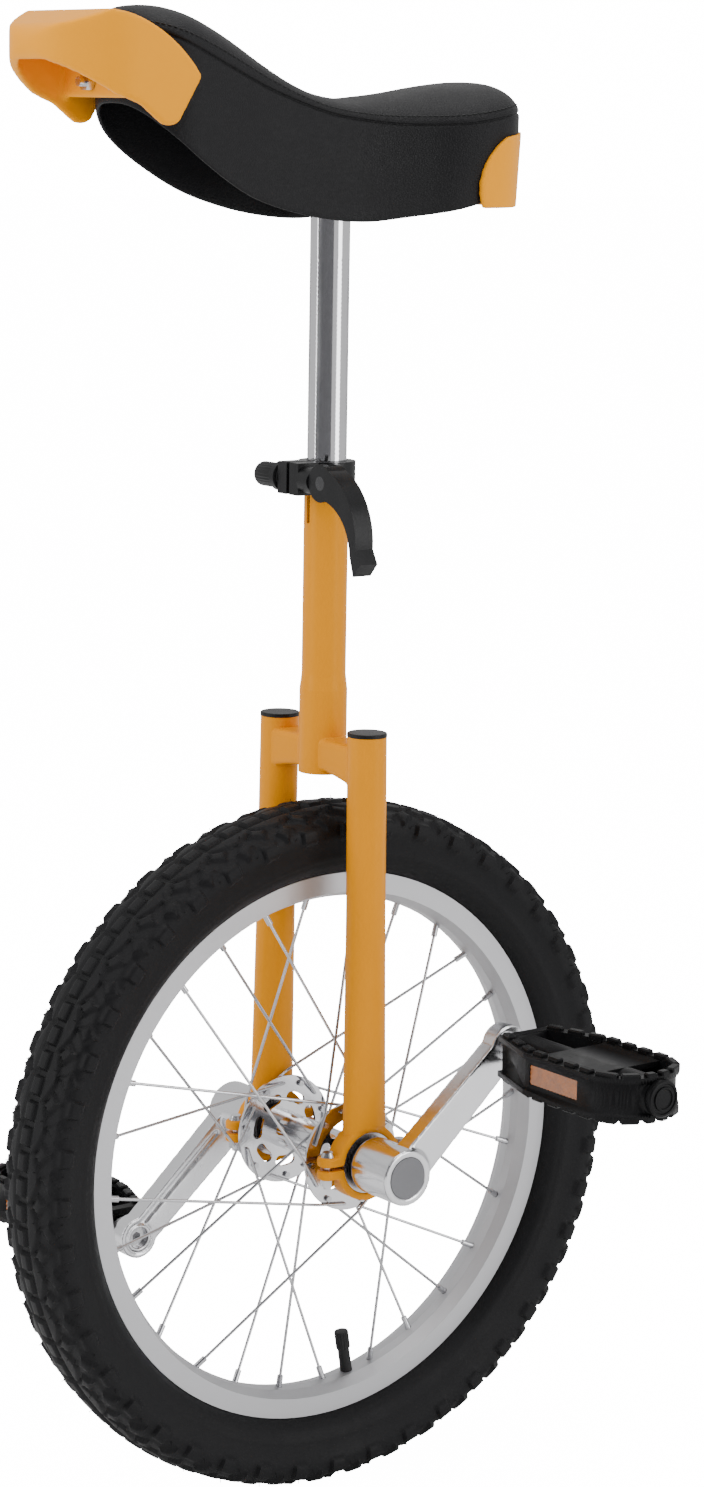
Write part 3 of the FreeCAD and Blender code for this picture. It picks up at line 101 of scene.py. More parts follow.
class UNICYCLE_PG_frame(bpy.types.PropertyGroup):
    paint: bpy.props.FloatVectorProperty(
        name="Paint", description="Colour of the welded frame", default=(0.68, 0.245, 0.0),
        size=3, min=0, max=1, subtype="COLOR")
    plastic: bpy.props.FloatVectorProperty(
        name="Plastic", description="Colour of the handle and the bumper", default=(0.86, 0.325, 0.0),
        size=3, min=0, max=1, subtype="COLOR")
    weld: bpy.props.FloatProperty(
        name="Weld skin", description="Fineness of the blended weld surfaces",
        default=0.9 * MM, unit="LENGTH")


class UNICYCLE_PG_post(bpy.types.PropertyGroup):
    knurl_low: bpy.props.FloatProperty(
        name="Knurl starts", description="Height where the knurled band starts",
        default=640 * MM, unit="LENGTH")
    knurl_high: bpy.props.FloatProperty(
        name="Knurl ends", description="Height where the knurled band ends",
        default=810 * MM, unit="LENGTH")
    knurl_depth: bpy.props.FloatProperty(
        name="Knurl depth", description="Depth of the diamonds pressed into the post",
        default=0.5 * MM, unit="LENGTH")


class UNICYCLE_PG_stage(bpy.types.PropertyGroup):
    backdrop: bpy.props.FloatVectorProperty(
        name="Backdrop", description="Colour of the floor", default=(0.86, 0.86, 0.86),
        size=3, min=0, max=1, subtype="COLOR")
    light: bpy.props.FloatProperty(
        name="Light", description="Power of each large soft light", default=30.0, min=0)
    glow: bpy.props.FloatProperty(
        name="Glow", description="How bright the surroundings look to the camera alone", default=16.0, min=0)


def settings(group):
    """The user's values for one group of pieces."""
    return getattr(bpy.context.scene, "unicycle_" + group)


# ---------------------------------------------------------------- shader node groups
def group_tree(name, inputs, outputs):
    """Empty shader group with named sockets, its input and its output node."""
    tree = bpy.data.node_groups.new(name, "ShaderNodeTree")
    for label, kind, value in inputs:
        socket = tree.interface.new_socket(name=label, in_out="INPUT", socket_type=kind)
        if value is not None:
            socket.default_value = value
    for label, kind in outputs:
        tree.interface.new_socket(name=label, in_out="OUTPUT", socket_type=kind)
    return tree, tree.nodes.new("NodeGroupInput"), tree.nodes.new("NodeGroupOutput")


def node(tree, kind, **values):
    """New shader node with its properties set."""
    made = tree.nodes.new(kind)
    for key, value in values.items():
        setattr(made, key, value)
    return made


def ramp(tree, source, low, high, start, end):
    """Map Range from low..high to start..end. Start and end are numbers or sockets."""
    made = node(tree, "ShaderNodeMapRange", interpolation_type="SMOOTHSTEP")
    tree.links.new(source, made.inputs["Value"])
    made.inputs["From Min"].default_value = low
    made.inputs["From Max"].default_value = high
    for label, value in (("To Min", start), ("To Max", end)):
        if isinstance(value, (int, float)):
            made.inputs[label].default_value = value
        else:
            tree.links.new(value, made.inputs[label])
    return made.outputs["Result"]


def maths(tree, operation, first, second):
    """Sum or product of two numbers or sockets."""
    made = node(tree, "ShaderNodeMath", operation=operation)
    for socket, value in zip(made.inputs, (first, second)):
        if isinstance(value, (int, float)):
            socket.default_value = value
        else:
            tree.links.new(value, socket)
    return made.outputs["Value"]


def cloud(tree, vector, scale, detail=3.0, rough=0.55):
    """Noise over the surface; the scale is a number or a socket."""
    made = node(tree, "ShaderNodeTexNoise")
    made.inputs["Detail"].default_value = detail
    made.inputs["Roughness"].default_value = rough
    if isinstance(scale, (int, float)):
        made.inputs["Scale"].default_value = scale
    else:
        tree.links.new(scale, made.inputs["Scale"])
    tree.links.new(vector, made.inputs["Vector"])
    return made.outputs["Fac"]


def blended(tree, factor, first, second):
    """Colour between two colours; each is a socket or four numbers."""
    made = node(tree, "ShaderNodeMix", data_type="RGBA")
    tree.links.new(factor, made.inputs[0])
    for slot, value in ((6, first), (7, second)):
        if isinstance(value, (tuple, list)):
            made.inputs[slot].default_value = value
        else:
            tree.links.new(value, made.inputs[slot])
    return made.outputs[2]


def tone_group():
    """Slow drift between two tones of one colour, with the roughness drifting too."""
    tree, start, end = group_tree(
        "uneven_tone",
        [("Vector", "NodeSocketVector", None), ("Tone", "NodeSocketColor", None),
         ("Second tone", "NodeSocketColor", None), ("Scale", "NodeSocketFloat", 12.0),
         ("Smooth", "NodeSocketFloat", 0.3), ("Rough", "NodeSocketFloat", 0.5)],
        [("Colour", "NodeSocketColor"), ("Roughness", "NodeSocketFloat")])
    drift = cloud(tree, start.outputs["Vector"], start.outputs["Scale"])
    mask = ramp(tree, drift, 0.32, 0.68, 0.0, 1.0)
    close = maths(tree, "MULTIPLY", start.outputs["Scale"], 9.0)
    fine = cloud(tree, start.outputs["Vector"], close, 5.0, 0.7)
    mixed = maths(tree, "MULTIPLY", maths(tree, "ADD", mask, fine), 0.55)
    colour = blended(tree, mixed, start.outputs["Tone"], start.outputs["Second tone"])
    tree.links.new(colour, end.inputs["Colour"])
    rough = ramp(tree, mixed, 0.1, 0.9, start.outputs["Smooth"], start.outputs["Rough"])
    tree.links.new(rough, end.inputs["Roughness"])
    return tree


def relief_group():
    """Fine even relief of moulded plastic, cast metal or sprayed paint."""
    tree, start, end = group_tree(
        "fine_relief",
        [("Vector", "NodeSocketVector", None), ("Scale", "NodeSocketFloat", 600.0),
         ("Wave", "NodeSocketFloat", 0.3)],
        [("Height", "NodeSocketFloat")])
    fine = cloud(tree, start.outputs["Vector"], start.outputs["Scale"], 2.0, 0.5)
    wide = maths(tree, "MULTIPLY", start.outputs["Scale"], 0.06)
    broad = cloud(tree, start.outputs["Vector"], wide, 1.0, 0.4)
    wave = maths(tree, "MULTIPLY", broad, start.outputs["Wave"])
    tree.links.new(maths(tree, "ADD", fine, wave), end.inputs["Height"])
    return tree


def hide_group():
    """Pebbled grain of vinyl: rounded cells with creases between them."""
    tree, start, end = group_tree(
        "vinyl_grain",
        [("Vector", "NodeSocketVector", None), ("Scale", "NodeSocketFloat", 700.0)],
        [("Height", "NodeSocketFloat")])
    cells = node(tree, "ShaderNodeTexVoronoi", feature="DISTANCE_TO_EDGE")
    tree.links.new(start.outputs["Vector"], cells.inputs["Vector"])
    tree.links.new(start.outputs["Scale"], cells.inputs["Scale"])
    crease = ramp(tree, cells.outputs["Distance"], 0.0, 0.22, 0.0, 1.0)
    soft = cloud(tree, start.outputs["Vector"], maths(tree, "MULTIPLY", start.outputs["Scale"], 0.12), 3.0)
    tree.links.new(maths(tree, "ADD", crease, soft), end.inputs["Height"])
    return tree


def scuff_group():
    """Thin scratches and dull spots from handling."""
    tree, start, end = group_tree(
        "handling_marks",
        [("Vector", "NodeSocketVector", None), ("Scale", "NodeSocketFloat", 40.0),
         ("Roughness", "NodeSocketFloat", 0.2), ("Amount", "NodeSocketFloat", 0.2)],
        [("Roughness", "NodeSocketFloat")])
    stretch = node(tree, "ShaderNodeMapping")
    stretch.inputs["Scale"].default_value = (1.0, 9.0, 2.0)
    stretch.inputs["Rotation"].default_value = (0.4, 0.9, 0.3)
    tree.links.new(start.outputs["Vector"], stretch.inputs["Vector"])
    lines = cloud(tree, stretch.outputs["Vector"], start.outputs["Scale"], 6.0, 0.75)
    mask = ramp(tree, lines, 0.56, 0.7, 0.0, 1.0)
    added = maths(tree, "MULTIPLY", mask, start.outputs["Amount"])
    tree.links.new(maths(tree, "ADD", added, start.outputs["Roughness"]), end.inputs["Roughness"])
    return tree


def drawn_group():
    """Fine lines left by drawing or turning, along one axis."""
    tree, start, end = group_tree(
        "drawn_lines",
        [("Vector", "NodeSocketVector", None), ("Stretch", "NodeSocketVector", (1.0, 1.0, 0.04)),
         ("Scale", "NodeSocketFloat", 900.0)],
        [("Height", "NodeSocketFloat")])
    product = node(tree, "ShaderNodeVectorMath", operation="MULTIPLY")
    tree.links.new(start.outputs["Vector"], product.inputs[0])
    tree.links.new(start.outputs["Stretch"], product.inputs[1])
    lines = cloud(tree, product.outputs["Vector"], start.outputs["Scale"], 4.0, 0.6)
    tree.links.new(lines, end.inputs["Height"])
    return tree


groups = {}


def placed(tree, name, vector, **values):
    """A shared effect inside one material, with that material's own values."""
    made = node(tree, "ShaderNodeGroup", node_tree=groups[name])
    tree.links.new(vector, made.inputs["Vector"])
    for label, value in values.items():
        socket = made.inputs[label.replace("_", " ")]
        if hasattr(value, "is_linked"):
            tree.links.new(value, socket)
        else:
            socket.default_value = value
    return made


# ---------------------------------------------------------------- materials
finishes = {}
WARM = (1.0, 0.55, 0.10)      # tint of the shine on the orange paint and plastic


def lighter(colour, factor):
    """Colour times a factor, with full alpha."""
    return tuple(min(1.0, c * factor) for c in colour[:3]) + (1.0,)


def new_finish(name, colour, second=1.3, tone=12.0, smooth=0.3, rough=0.45, metal=0.0, coat=0.0,
               relief=None, grain=None, drawn=None, depth=0.05, marks=0.0, level=0.5, coat_rough=0.05,
               tint=None):
    """Material of one finish: drifting tone, handling marks and the relief its surface has."""
    made = bpy.data.materials.new(name)
    made.use_nodes = True
    tree = made.node_tree
    shader = tree.nodes["Principled BSDF"]
    place = node(tree, "ShaderNodeTexCoord").outputs["Object"]
    base = tuple(colour[:3]) + (1.0,)
    tones = placed(tree, "tone", place, Tone=base, Second_tone=lighter(base, second), Scale=tone,
                   Smooth=smooth, Rough=rough)
    tree.links.new(tones.outputs["Colour"], shader.inputs["Base Color"])
    roughness = tones.outputs["Roughness"]
    if marks:
        scuffs = placed(tree, "scuff", place, Scale=45.0, Roughness=roughness, Amount=marks)
        roughness = scuffs.outputs["Roughness"]
    tree.links.new(roughness, shader.inputs["Roughness"])
    height = None
    if relief:
        height = placed(tree, "relief", place, Scale=relief).outputs["Height"]
    if grain:
        height = placed(tree, "hide", place, Scale=grain).outputs["Height"]
    if drawn:
        height = placed(tree, "drawn", place, Stretch=drawn).outputs["Height"]
    if height is not None:
        bump = node(tree, "ShaderNodeBump")
        bump.inputs["Strength"].default_value = depth
        bump.inputs["Distance"].default_value = 0.0006
        tree.links.new(height, bump.inputs["Height"])
        tree.links.new(bump.outputs["Normal"], shader.inputs["Normal"])
    shader.inputs["Metallic"].default_value = metal
    shader.inputs["Coat Weight"].default_value = coat
    shader.inputs["Coat Roughness"].default_value = coat_rough
    shader.inputs["Specular IOR Level"].default_value = level
    if tint:
        shader.inputs["Specular Tint"].default_value = tuple(tint) + (1.0,)
    finishes[name] = made
    return made


def amber_finish():
    """Moulded amber reflector: bright prism faces that drift between deep and light amber."""
    made = new_finish("reflector_amber", (0.17, 0.045, 0.001), second=2.4, tone=120.0, smooth=0.08,
                      rough=0.25, relief=900.0, depth=0.3, coat=1.0)
    shader = made.node_tree.nodes["Principled BSDF"]
    shader.inputs["Transmission Weight"].default_value = 0.15


def build_finishes():
    groups.update(tone=tone_group(), relief=relief_group(), hide=hide_group(), scuff=scuff_group(),
                  drawn=drawn_group())
    tyre = settings("tyre")
    saddle = settings("saddle")
    paint = settings("frame")
    new_finish("tyre_rubber", tyre.rubber, second=1.9, tone=22.0, smooth=0.42, rough=0.60, relief=1400.0,
               depth=0.25, marks=0.10, level=0.15)
    new_finish("tube_rubber", (0.015, 0.015, 0.015), smooth=0.5, rough=0.6, relief=900.0, depth=0.2)
    new_finish("valve_rubber", (0.006, 0.006, 0.0065), smooth=0.4, rough=0.55, relief=1500.0, depth=0.2,
               level=0.3)
    new_finish("black_plastic", (0.006, 0.006, 0.0065), smooth=0.32, rough=0.42, relief=1800.0, depth=0.15,
               marks=0.1, level=0.2)
    new_finish("rim_alloy", (0.50, 0.50, 0.515), second=1.06, tone=9.0, smooth=0.40, rough=0.50, metal=0.85,
               relief=2200.0, depth=0.05, marks=0.05)
    new_finish("spoke_steel", (0.62, 0.62, 0.64), second=0.8, tone=60.0, smooth=0.14, rough=0.3, metal=1.0,
               relief=1600.0, depth=0.05)
    new_finish("hub_chrome", (0.74, 0.74, 0.76), second=0.9, tone=30.0, smooth=0.08, rough=0.2, metal=1.0,
               relief=700.0, depth=0.05, marks=0.1)
    new_finish("steel", (0.55, 0.55, 0.56), second=0.85, tone=40.0, smooth=0.18, rough=0.3, metal=1.0,
               relief=1200.0, depth=0.05, marks=0.1)
    new_finish("bearing_seal", (0.012, 0.012, 0.012), smooth=0.3, rough=0.45, relief=1500.0, depth=0.15)
    new_finish("crank_alloy", (0.78, 0.78, 0.80), second=0.93, tone=18.0, smooth=0.14, rough=0.26, metal=1.0,
               relief=500.0, depth=0.06, marks=0.08)
    new_finish("bolt_chrome", (0.70, 0.70, 0.71), second=0.85, tone=60.0, smooth=0.12, rough=0.28, metal=1.0,
               relief=1500.0, depth=0.08, marks=0.1)
    new_finish("dust_cap_grey", (0.15, 0.15, 0.16), second=1.12, tone=60.0, smooth=0.34, rough=0.42,
               relief=1500.0, depth=0.08, marks=0.05)
    new_finish("pedal_plastic", (0.003, 0.003, 0.0034), second=1.9, tone=30.0, smooth=0.3, rough=0.45,
               relief=1300.0, depth=0.2, marks=0.12, level=0.14)
    new_finish("frame_paint", paint.paint, second=1.08, tone=8.0, smooth=0.30, rough=0.40, coat=0.06,
               relief=420.0, depth=0.06, marks=0.04, coat_rough=0.22, level=0.22, tint=WARM)
    new_finish("clamp_black", (0.0055, 0.0055, 0.006), second=1.6, tone=40.0, smooth=0.26, rough=0.4,
               relief=1100.0, depth=0.15, marks=0.1, level=0.22)
    new_finish("pin_steel", (0.05, 0.05, 0.052), second=1.4, tone=80.0, smooth=0.2, rough=0.34, metal=0.6,
               relief=1200.0, depth=0.1)
    new_finish("post_chrome", (0.80, 0.80, 0.82), second=0.96, tone=16.0, smooth=0.05, rough=0.12, metal=1.0,
               drawn=(1.0, 1.0, 0.04), depth=0.02, marks=0.05)
    new_finish("plate_steel", (0.03, 0.03, 0.032), second=1.5, tone=30.0, smooth=0.35, rough=0.5, metal=0.3,
               relief=900.0, depth=0.1)
    new_finish("base_plastic", (0.005, 0.005, 0.0055), second=1.6, tone=14.0, smooth=0.2, rough=0.34,
               relief=700.0, depth=0.08, marks=0.1, level=0.22)
    new_finish("foam", (0.5, 0.47, 0.4), smooth=0.8, rough=0.95, relief=900.0, depth=0.6)
    new_finish("cover_vinyl", saddle.vinyl, second=1.5, tone=9.0, smooth=0.40, rough=0.52, grain=620.0,
               depth=0.30, marks=0.06, level=0.16)
    new_finish("thread_black", (0.006, 0.006, 0.0065), second=1.6, tone=300.0, smooth=0.6, rough=0.75,
               drawn=(1.0, 1.0, 1.0), depth=0.3)
    new_finish("handle_plastic", paint.plastic, second=1.05, tone=7.0, smooth=0.34, rough=0.44,
               relief=1300.0, depth=0.07, marks=0.04, level=0.2, tint=WARM)
    amber_finish()


# ---------------------------------------------------------------- mesh helpers
def new_piece(bm, name, body, finish, stands_for=(), crisp=35.0):
    """Turns a finished mesh into a piece that rides on its body and stands for CAD nodes."""
    mesh = bpy.data.meshes.new(name)
    bm.to_mesh(mesh)
    bm.free()
    mesh.polygons.foreach_set("use_smooth", [True] * len(mesh.polygons))
    mesh.set_sharp_from_angle(angle=math.radians(crisp))
    mesh.materials.append(finishes[finish])
    piece = bpy.data.objects.new(name, mesh)
    bpy.context.scene.collection.objects.link(piece)
    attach(piece, body)
    if stands_for:
        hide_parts(*stands_for)
    return piece


def outward(bm, join=1e-6):
    """Merges doubles and turns the faces outwards."""
    bmesh.ops.remove_doubles(bm, verts=bm.verts, dist=join)
    bmesh.ops.recalc_face_normals(bm, faces=bm.faces)


def shaped_sheet(columns, rows, place):
    """Sheet of quads, each corner put where place(column, row) says."""
    bm = bmesh.new()
    bmesh.ops.create_grid(bm, x_segments=columns, y_segments=rows, size=0.5)
    for vert in bm.verts:
        vert.co = place(round((vert.co.x + 0.5) * columns), round((vert.co.y + 0.5) * rows))
    return bm


def along(table, at):
    """Smooth value at a place along a table of (place, value) rows."""
    if at <= table[0][0]:
        return table[0][1]
    if at >= table[-1][0]:
        return table[-1][1]
    i = next(k for k in range(len(table) - 1) if table[k][0] <= at <= table[k + 1][0])
    p0, v0 = table[max(i - 1, 0)]
    p1, v1 = table[i]
    p2, v2 = table[i + 1]
    p3, v3 = table[min(i + 2, len(table) - 1)]
    span = p2 - p1
    t = (at - p1) / span
    lean1 = (v2 - v0) / (p2 - p0) * span
    lean2 = (v3 - v1) / (p3 - p1) * span
    if (v2 - v1) * (v1 - v0) <= 0 and i > 0:
        lean1 = 0.0
    if (v3 - v2) * (v2 - v1) <= 0 and i + 2 < len(table):
        lean2 = 0.0
    a = 2 * t ** 3 - 3 * t ** 2 + 1
    b = t ** 3 - 2 * t ** 2 + t
    c = -2 * t ** 3 + 3 * t ** 2
    d = t ** 3 - t ** 2
    return a * v1 + b * lean1 + c * v2 + d * lean2


def node_copy(*names):
    """Merged copy of CAD nodes, to be worked into a replacement."""
    bm = bmesh.new()
    for name in names:
        bm.from_mesh(cad_nodes[name].data)
    bmesh.ops.remove_doubles(bm, verts=bm.verts, dist=1e-6)
    return bm


def eased_skin(bm, cell, passes, keep=None):
    """Even skin over a closed shape, with its edges and inner corners eased."""
    mesh = bpy.data.meshes.new("skin")
    bm.to_mesh(mesh)
    bm.free()
    form = bpy.data.objects.new("skin", mesh)
    bpy.context.scene.collection.objects.link(form)
    remesh = form.modifiers.new("skin", "REMESH")
    remesh.mode = "VOXEL"
    remesh.voxel_size = cell
    remesh.adaptivity = 0.0
    worked = bpy.data.meshes.new_from_object(form.evaluated_get(bpy.context.evaluated_depsgraph_get()))
    skin = bmesh.new()
    skin.from_mesh(worked)
    bpy.data.objects.remove(form)
    bpy.data.meshes.remove(mesh)
    bpy.data.meshes.remove(worked)
    for _ in range(passes):
        free = [v for v in skin.verts if keep is None or not keep(v.co)]
        bmesh.ops.smooth_vert(skin, verts=free, factor=0.5, use_axis_x=True, use_axis_y=True, use_axis_z=True)
    bmesh.ops.recalc_face_normals(skin, faces=skin.faces)
    return skin


def add_rod(bm, start, end, radius, segments=24):
    """Closed round bar between two points."""
    line = end - start
    turn = line.to_track_quat("Z", "Y").to_matrix().to_4x4()
    matrix = Matrix.Translation((start + end) / 2) @ turn
    return bmesh.ops.create_cone(bm, cap_ends=True, segments=segments, radius1=radius, radius2=radius,
                                 depth=line.length, matrix=matrix)["verts"]


def add_mesh(bm, other):
    """Adds a finished mesh to another one and frees it."""
    loose = bpy.data.meshes.new("loose")
    other.to_mesh(loose)
    other.free()
    bm.from_mesh(loose)
    bpy.data.meshes.remove(loose)


def add_tube(bm, low, high, outer, inner, segments=48):
    """Closed upright tube about the line of the post."""
    rings = ((outer, low), (outer, high), (inner, high), (inner, low), (outer, low))

    def place(column, row):
        radius, z = rings[row]
        angle = 2 * math.pi * (column % segments) / segments
        return Vector((radius * math.cos(angle), radius * math.sin(angle), z))

    tube = shaped_sheet(segments, len(rings) - 1, place)
    outward(tube)
    add_mesh(bm, tube)


def add_block(bm, size, matrix, rounding):
    """Small block with eased edges."""
    made = bmesh.ops.create_cube(bm, size=1.0, matrix=matrix @ Matrix.Diagonal((*size, 1.0)))["verts"]
    edges = list({e for v in made for e in v.link_edges})
    bmesh.ops.bevel(bm, geom=edges, offset=rounding, segments=1, profile=0.5, affect="EDGES",
                    material=-1)


# ---------------------------------------------------------------- tyre
# each row is a distance from the middle of the tyre and from its axle, in millimetres
TREAD_ROWS = (
    (0.0, 227.2), (8.0, 226.8), (14.0, 226.0), (20.0, 224.9), (24.6, 223.2), (27.6, 220.4), (28.8, 216.5),
    (28.7, 212.0), (27.4, 207.5), (26.1, 203.0), (25.3, 199.0), (24.2, 195.3), (22.4, 191.4), (19.4, 187.9),
    (16.6, 185.9), (15.2, 184.6), (13.0, 184.5), (11.2, 184.3),
)
SIDEWALL_RINGS = ((197.5, 1.2, 0.7), (190.6, 1.0, -0.7), (186.9, 0.9, 0.5))     # radius, half width, rise
BEAD_ROWS = ((11.2, 181.0), (11.2, 178.0), (7.6, 178.0), (7.6, 185.4), (12.0, 188.0), (17.0, 193.0),
             (20.4, 201.0), (20.6, 208.0), (17.0, 217.0), (9.0, 223.6))
TREAD_REACH = 41.0       # how far round the section the tread goes, from its middle
VENT_HAIRS = ((13.5, 227.0), (-17.5, 226.2), (29.0, 216.5), (-29.0, 213.0))


def plateau(distance, half, soft):
    return max(0.0, min(1.0, (half - abs(distance)) / soft + 0.5))


def star(du, dv, reach):
    """Four-pointed knob with hollow sides."""
    size = (abs(du) ** 0.62 + abs(dv) ** 0.62) ** (1 / 0.62)
    return plateau(size, reach, 1.6)


def knob(share, across, pitch, tall):
    """Height of the tread at a share of the pitch and a distance from the middle, in millimetres."""
    twin = (share * 2.0) % 1.0 - 0.5
    middle = plateau(twin * pitch / 2, 5.6, 1.2) * plateau(across, 4.8, 1.4) * tall
    edge = 9.5 + 7.0 * math.sin(math.pi * share)
    crescent = plateau(across - (6.3 + edge) / 2, (edge - 6.3) / 2, 1.5) * tall * 0.72
    near = (share + 0.5) % 1.0 - 0.5
    first = star(near * pitch * 0.92 + (across - 17) * 0.25, across - 17.5, 8.2) * tall * 0.8
    second = star((share - 0.5) * pitch * 0.92 - (across - 25) * 0.25, across - 25.5, 8.6) * tall * 0.75
    lug = plateau(near * pitch, 5.6, 1.3) * plateau(across - 34.5, 5.2, 1.5) * tall * 0.85
    lug *= max(0.0, min(1.0, (41.0 - across) / 4.0))
    return max(middle, crescent, first, second, lug)


def tyre_section():
    """Points round the tyre's section, with how far each lies from the middle of the tread."""
    fine = []
    for i in range(len(TREAD_ROWS) - 1):
        x0, r0 = TREAD_ROWS[i]
        x1, r1 = TREAD_ROWS[i + 1]
        steps = max(1, round(math.hypot(x1 - x0, r1 - r0) / (1.5 if r0 > 208 else 2.2)))
        for k in range(steps):
            fine.append(i + k / steps)
    fine.append(len(TREAD_ROWS) - 1.0)
    xs = [(float(i), row[0]) for i, row in enumerate(TREAD_ROWS)]
    rs = [(float(i), row[1]) for i, row in enumerate(TREAD_ROWS)]
    side = [(along(xs, at), along(rs, at)) for at in fine]
    points = [(x, r) for x, r in reversed(side)] + [(-x, r) for x, r in side[1:]]
    inner = list(BEAD_ROWS) + [(0.0, 225.0 - 2.6)] + [(-x, r) for x, r in reversed(BEAD_ROWS)]
    return points, list(reversed(inner))


def build_tyre():
    sizes = settings("tyre")
    count = sizes.pitches
    tall = sizes.knob_height / MM
    points, inner = tyre_section()
    middle = len(points) // 2
    far = [0.0] * len(points)
    for step in (1, -1):
        i = middle
        while 0 <= i + step < len(points):
            far[i + step] = far[i] + math.dist(points[i], points[i + step])
            i += step
    ring = points + inner + [points[0]]
    columns = 20
    pitch = 2 * math.pi * 230.0 / count

    def place(column, row):
        angle = 2 * math.pi / count * column / columns
        x, r = ring[row]
        if 0 < row < len(points) - 1 and far[row] < TREAD_REACH:
            ahead, behind = ring[row + 1], ring[row - 1]
            run = math.hypot(ahead[0] - behind[0], ahead[1] - behind[1])
            out = ((behind[1] - ahead[1]) / -run, (behind[0] - ahead[0]) / run)
            if out[0] * x + out[1] * (r - 204.0) < 0:
                out = (-out[0], -out[1])
            share = (column / columns + (0.5 if x < 0 else 0.0)) % 1.0
            rise = knob(share, far[row], pitch, tall)
            x += out[0] * rise
            r += out[1] * rise
        if row < len(points):
            for ring_r, half, rise in SIDEWALL_RINGS:
                x += math.copysign(rise, x) * max(0.0, 1 - abs(r - ring_r) / half)
        return AXLE + Vector((x, r * math.cos(angle), r * math.sin(angle))) * MM

    bm = shaped_sheet(columns, len(ring) - 1, place)
    bmesh.ops.remove_doubles(bm, verts=bm.verts, dist=1e-6)
    turn = 2 * math.pi / count * (count - 1)
    bmesh.ops.spin(bm, geom=bm.verts[:] + bm.edges[:] + bm.faces[:], axis=(1, 0, 0), cent=AXLE,
                   dvec=(0, 0, 0), angle=turn, steps=count - 1, use_duplicate=True)
    outward(bm, 1e-5)
    for i in range(count):
        angle = 2 * math.pi / count * (i + 0.35)
        for x, r in VENT_HAIRS:
            foot = AXLE + Vector((x, r * math.cos(angle), r * math.sin(angle))) * MM
            lean = Vector((x * 0.03, math.cos(angle), math.sin(angle))).normalized()
            add_rod(bm, foot - lean * MM, foot + lean * 3.4 * MM, 0.24 * MM, 4)
    new_piece(bm, "tyre_tread", "wheel", "tyre_rubber", ("tyre",), 50.0)


# ---------------------------------------------------------------- saddle
# each row is a place along the saddle and a width or a height there, in millimetres
SADDLE_HALF = ((-166, 0), (-165.4, 12), (-162, 23), (-156, 32), (-145, 40.5), (-130, 43), (-110, 41.5),
               (-70, 38), (-30, 38), (5, 41), (40, 51), (62, 61), (80, 65), (96, 61.5), (108, 53), (118, 40),
               (124, 25), (126.4, 12), (127, 0))
SADDLE_TOP = ((-166, 955), (-160, 960), (-145, 962), (-125, 959), (-110, 953.5), (-90, 943.5), (-70, 931.5),
              (-50, 920.5), (-30, 913), (0, 909), (25, 911), (50, 914), (80, 918.5), (104, 921), (116, 918),
              (124, 910), (127, 903))
SADDLE_SEAM = ((-166, 950), (-145, 943), (-110, 928.5), (-70, 912.5), (-30, 900.5), (0, 896), (30, 894),
               (60, 895), (80, 898), (104, 902), (118, 902.5), (127, 901))
SADDLE_LOW = ((-166, 904), (-145, 885), (-120, 867), (-90, 850.5), (-60, 841), (-30, 835.5), (0, 833.5),
              (30, 836.5), (60, 841), (90, 849), (112, 855.5), (127, 859))
BASE_DROP = 5.9


def saddle_outline(count):
    """Evenly spaced points round the seam, seen from above."""
    nose, tail = SADDLE_HALF[0][0], SADDLE_HALF[-1][0]
    dense = [(along(SADDLE_HALF, y), y) for y in
             [nose + (tail - nose) / 2 * (1 - math.cos(math.pi * k / 400)) for k in range(401)]]
    loop = dense + [(-x, y) for x, y in reversed(dense[1:-1])]
    loop.append(loop[0])
    runs = [0.0]
    for a, b in zip(loop, loop[1:]):
        runs.append(runs[-1] + math.dist(a, b))
    points = []
    i = 0
    for k in range(count):
        want = runs[-1] * k / count
        while runs[i + 1] < want:
            i += 1
        t = (want - runs[i]) / max(runs[i + 1] - runs[i], 1e-9)
        points.append(tuple(a + (b - a) * t for a, b in zip(loop[i], loop[i + 1])))
    return points


def top_height(x, y, crown):
    half = max(along(SADDLE_HALF, y), 0.01)
    share = min(abs(x) / half, 1.0)
    seam = along(SADDLE_SEAM, y)
    return seam + (along(SADDLE_TOP, y) - seam) * (1 - share ** crown) ** 0.62


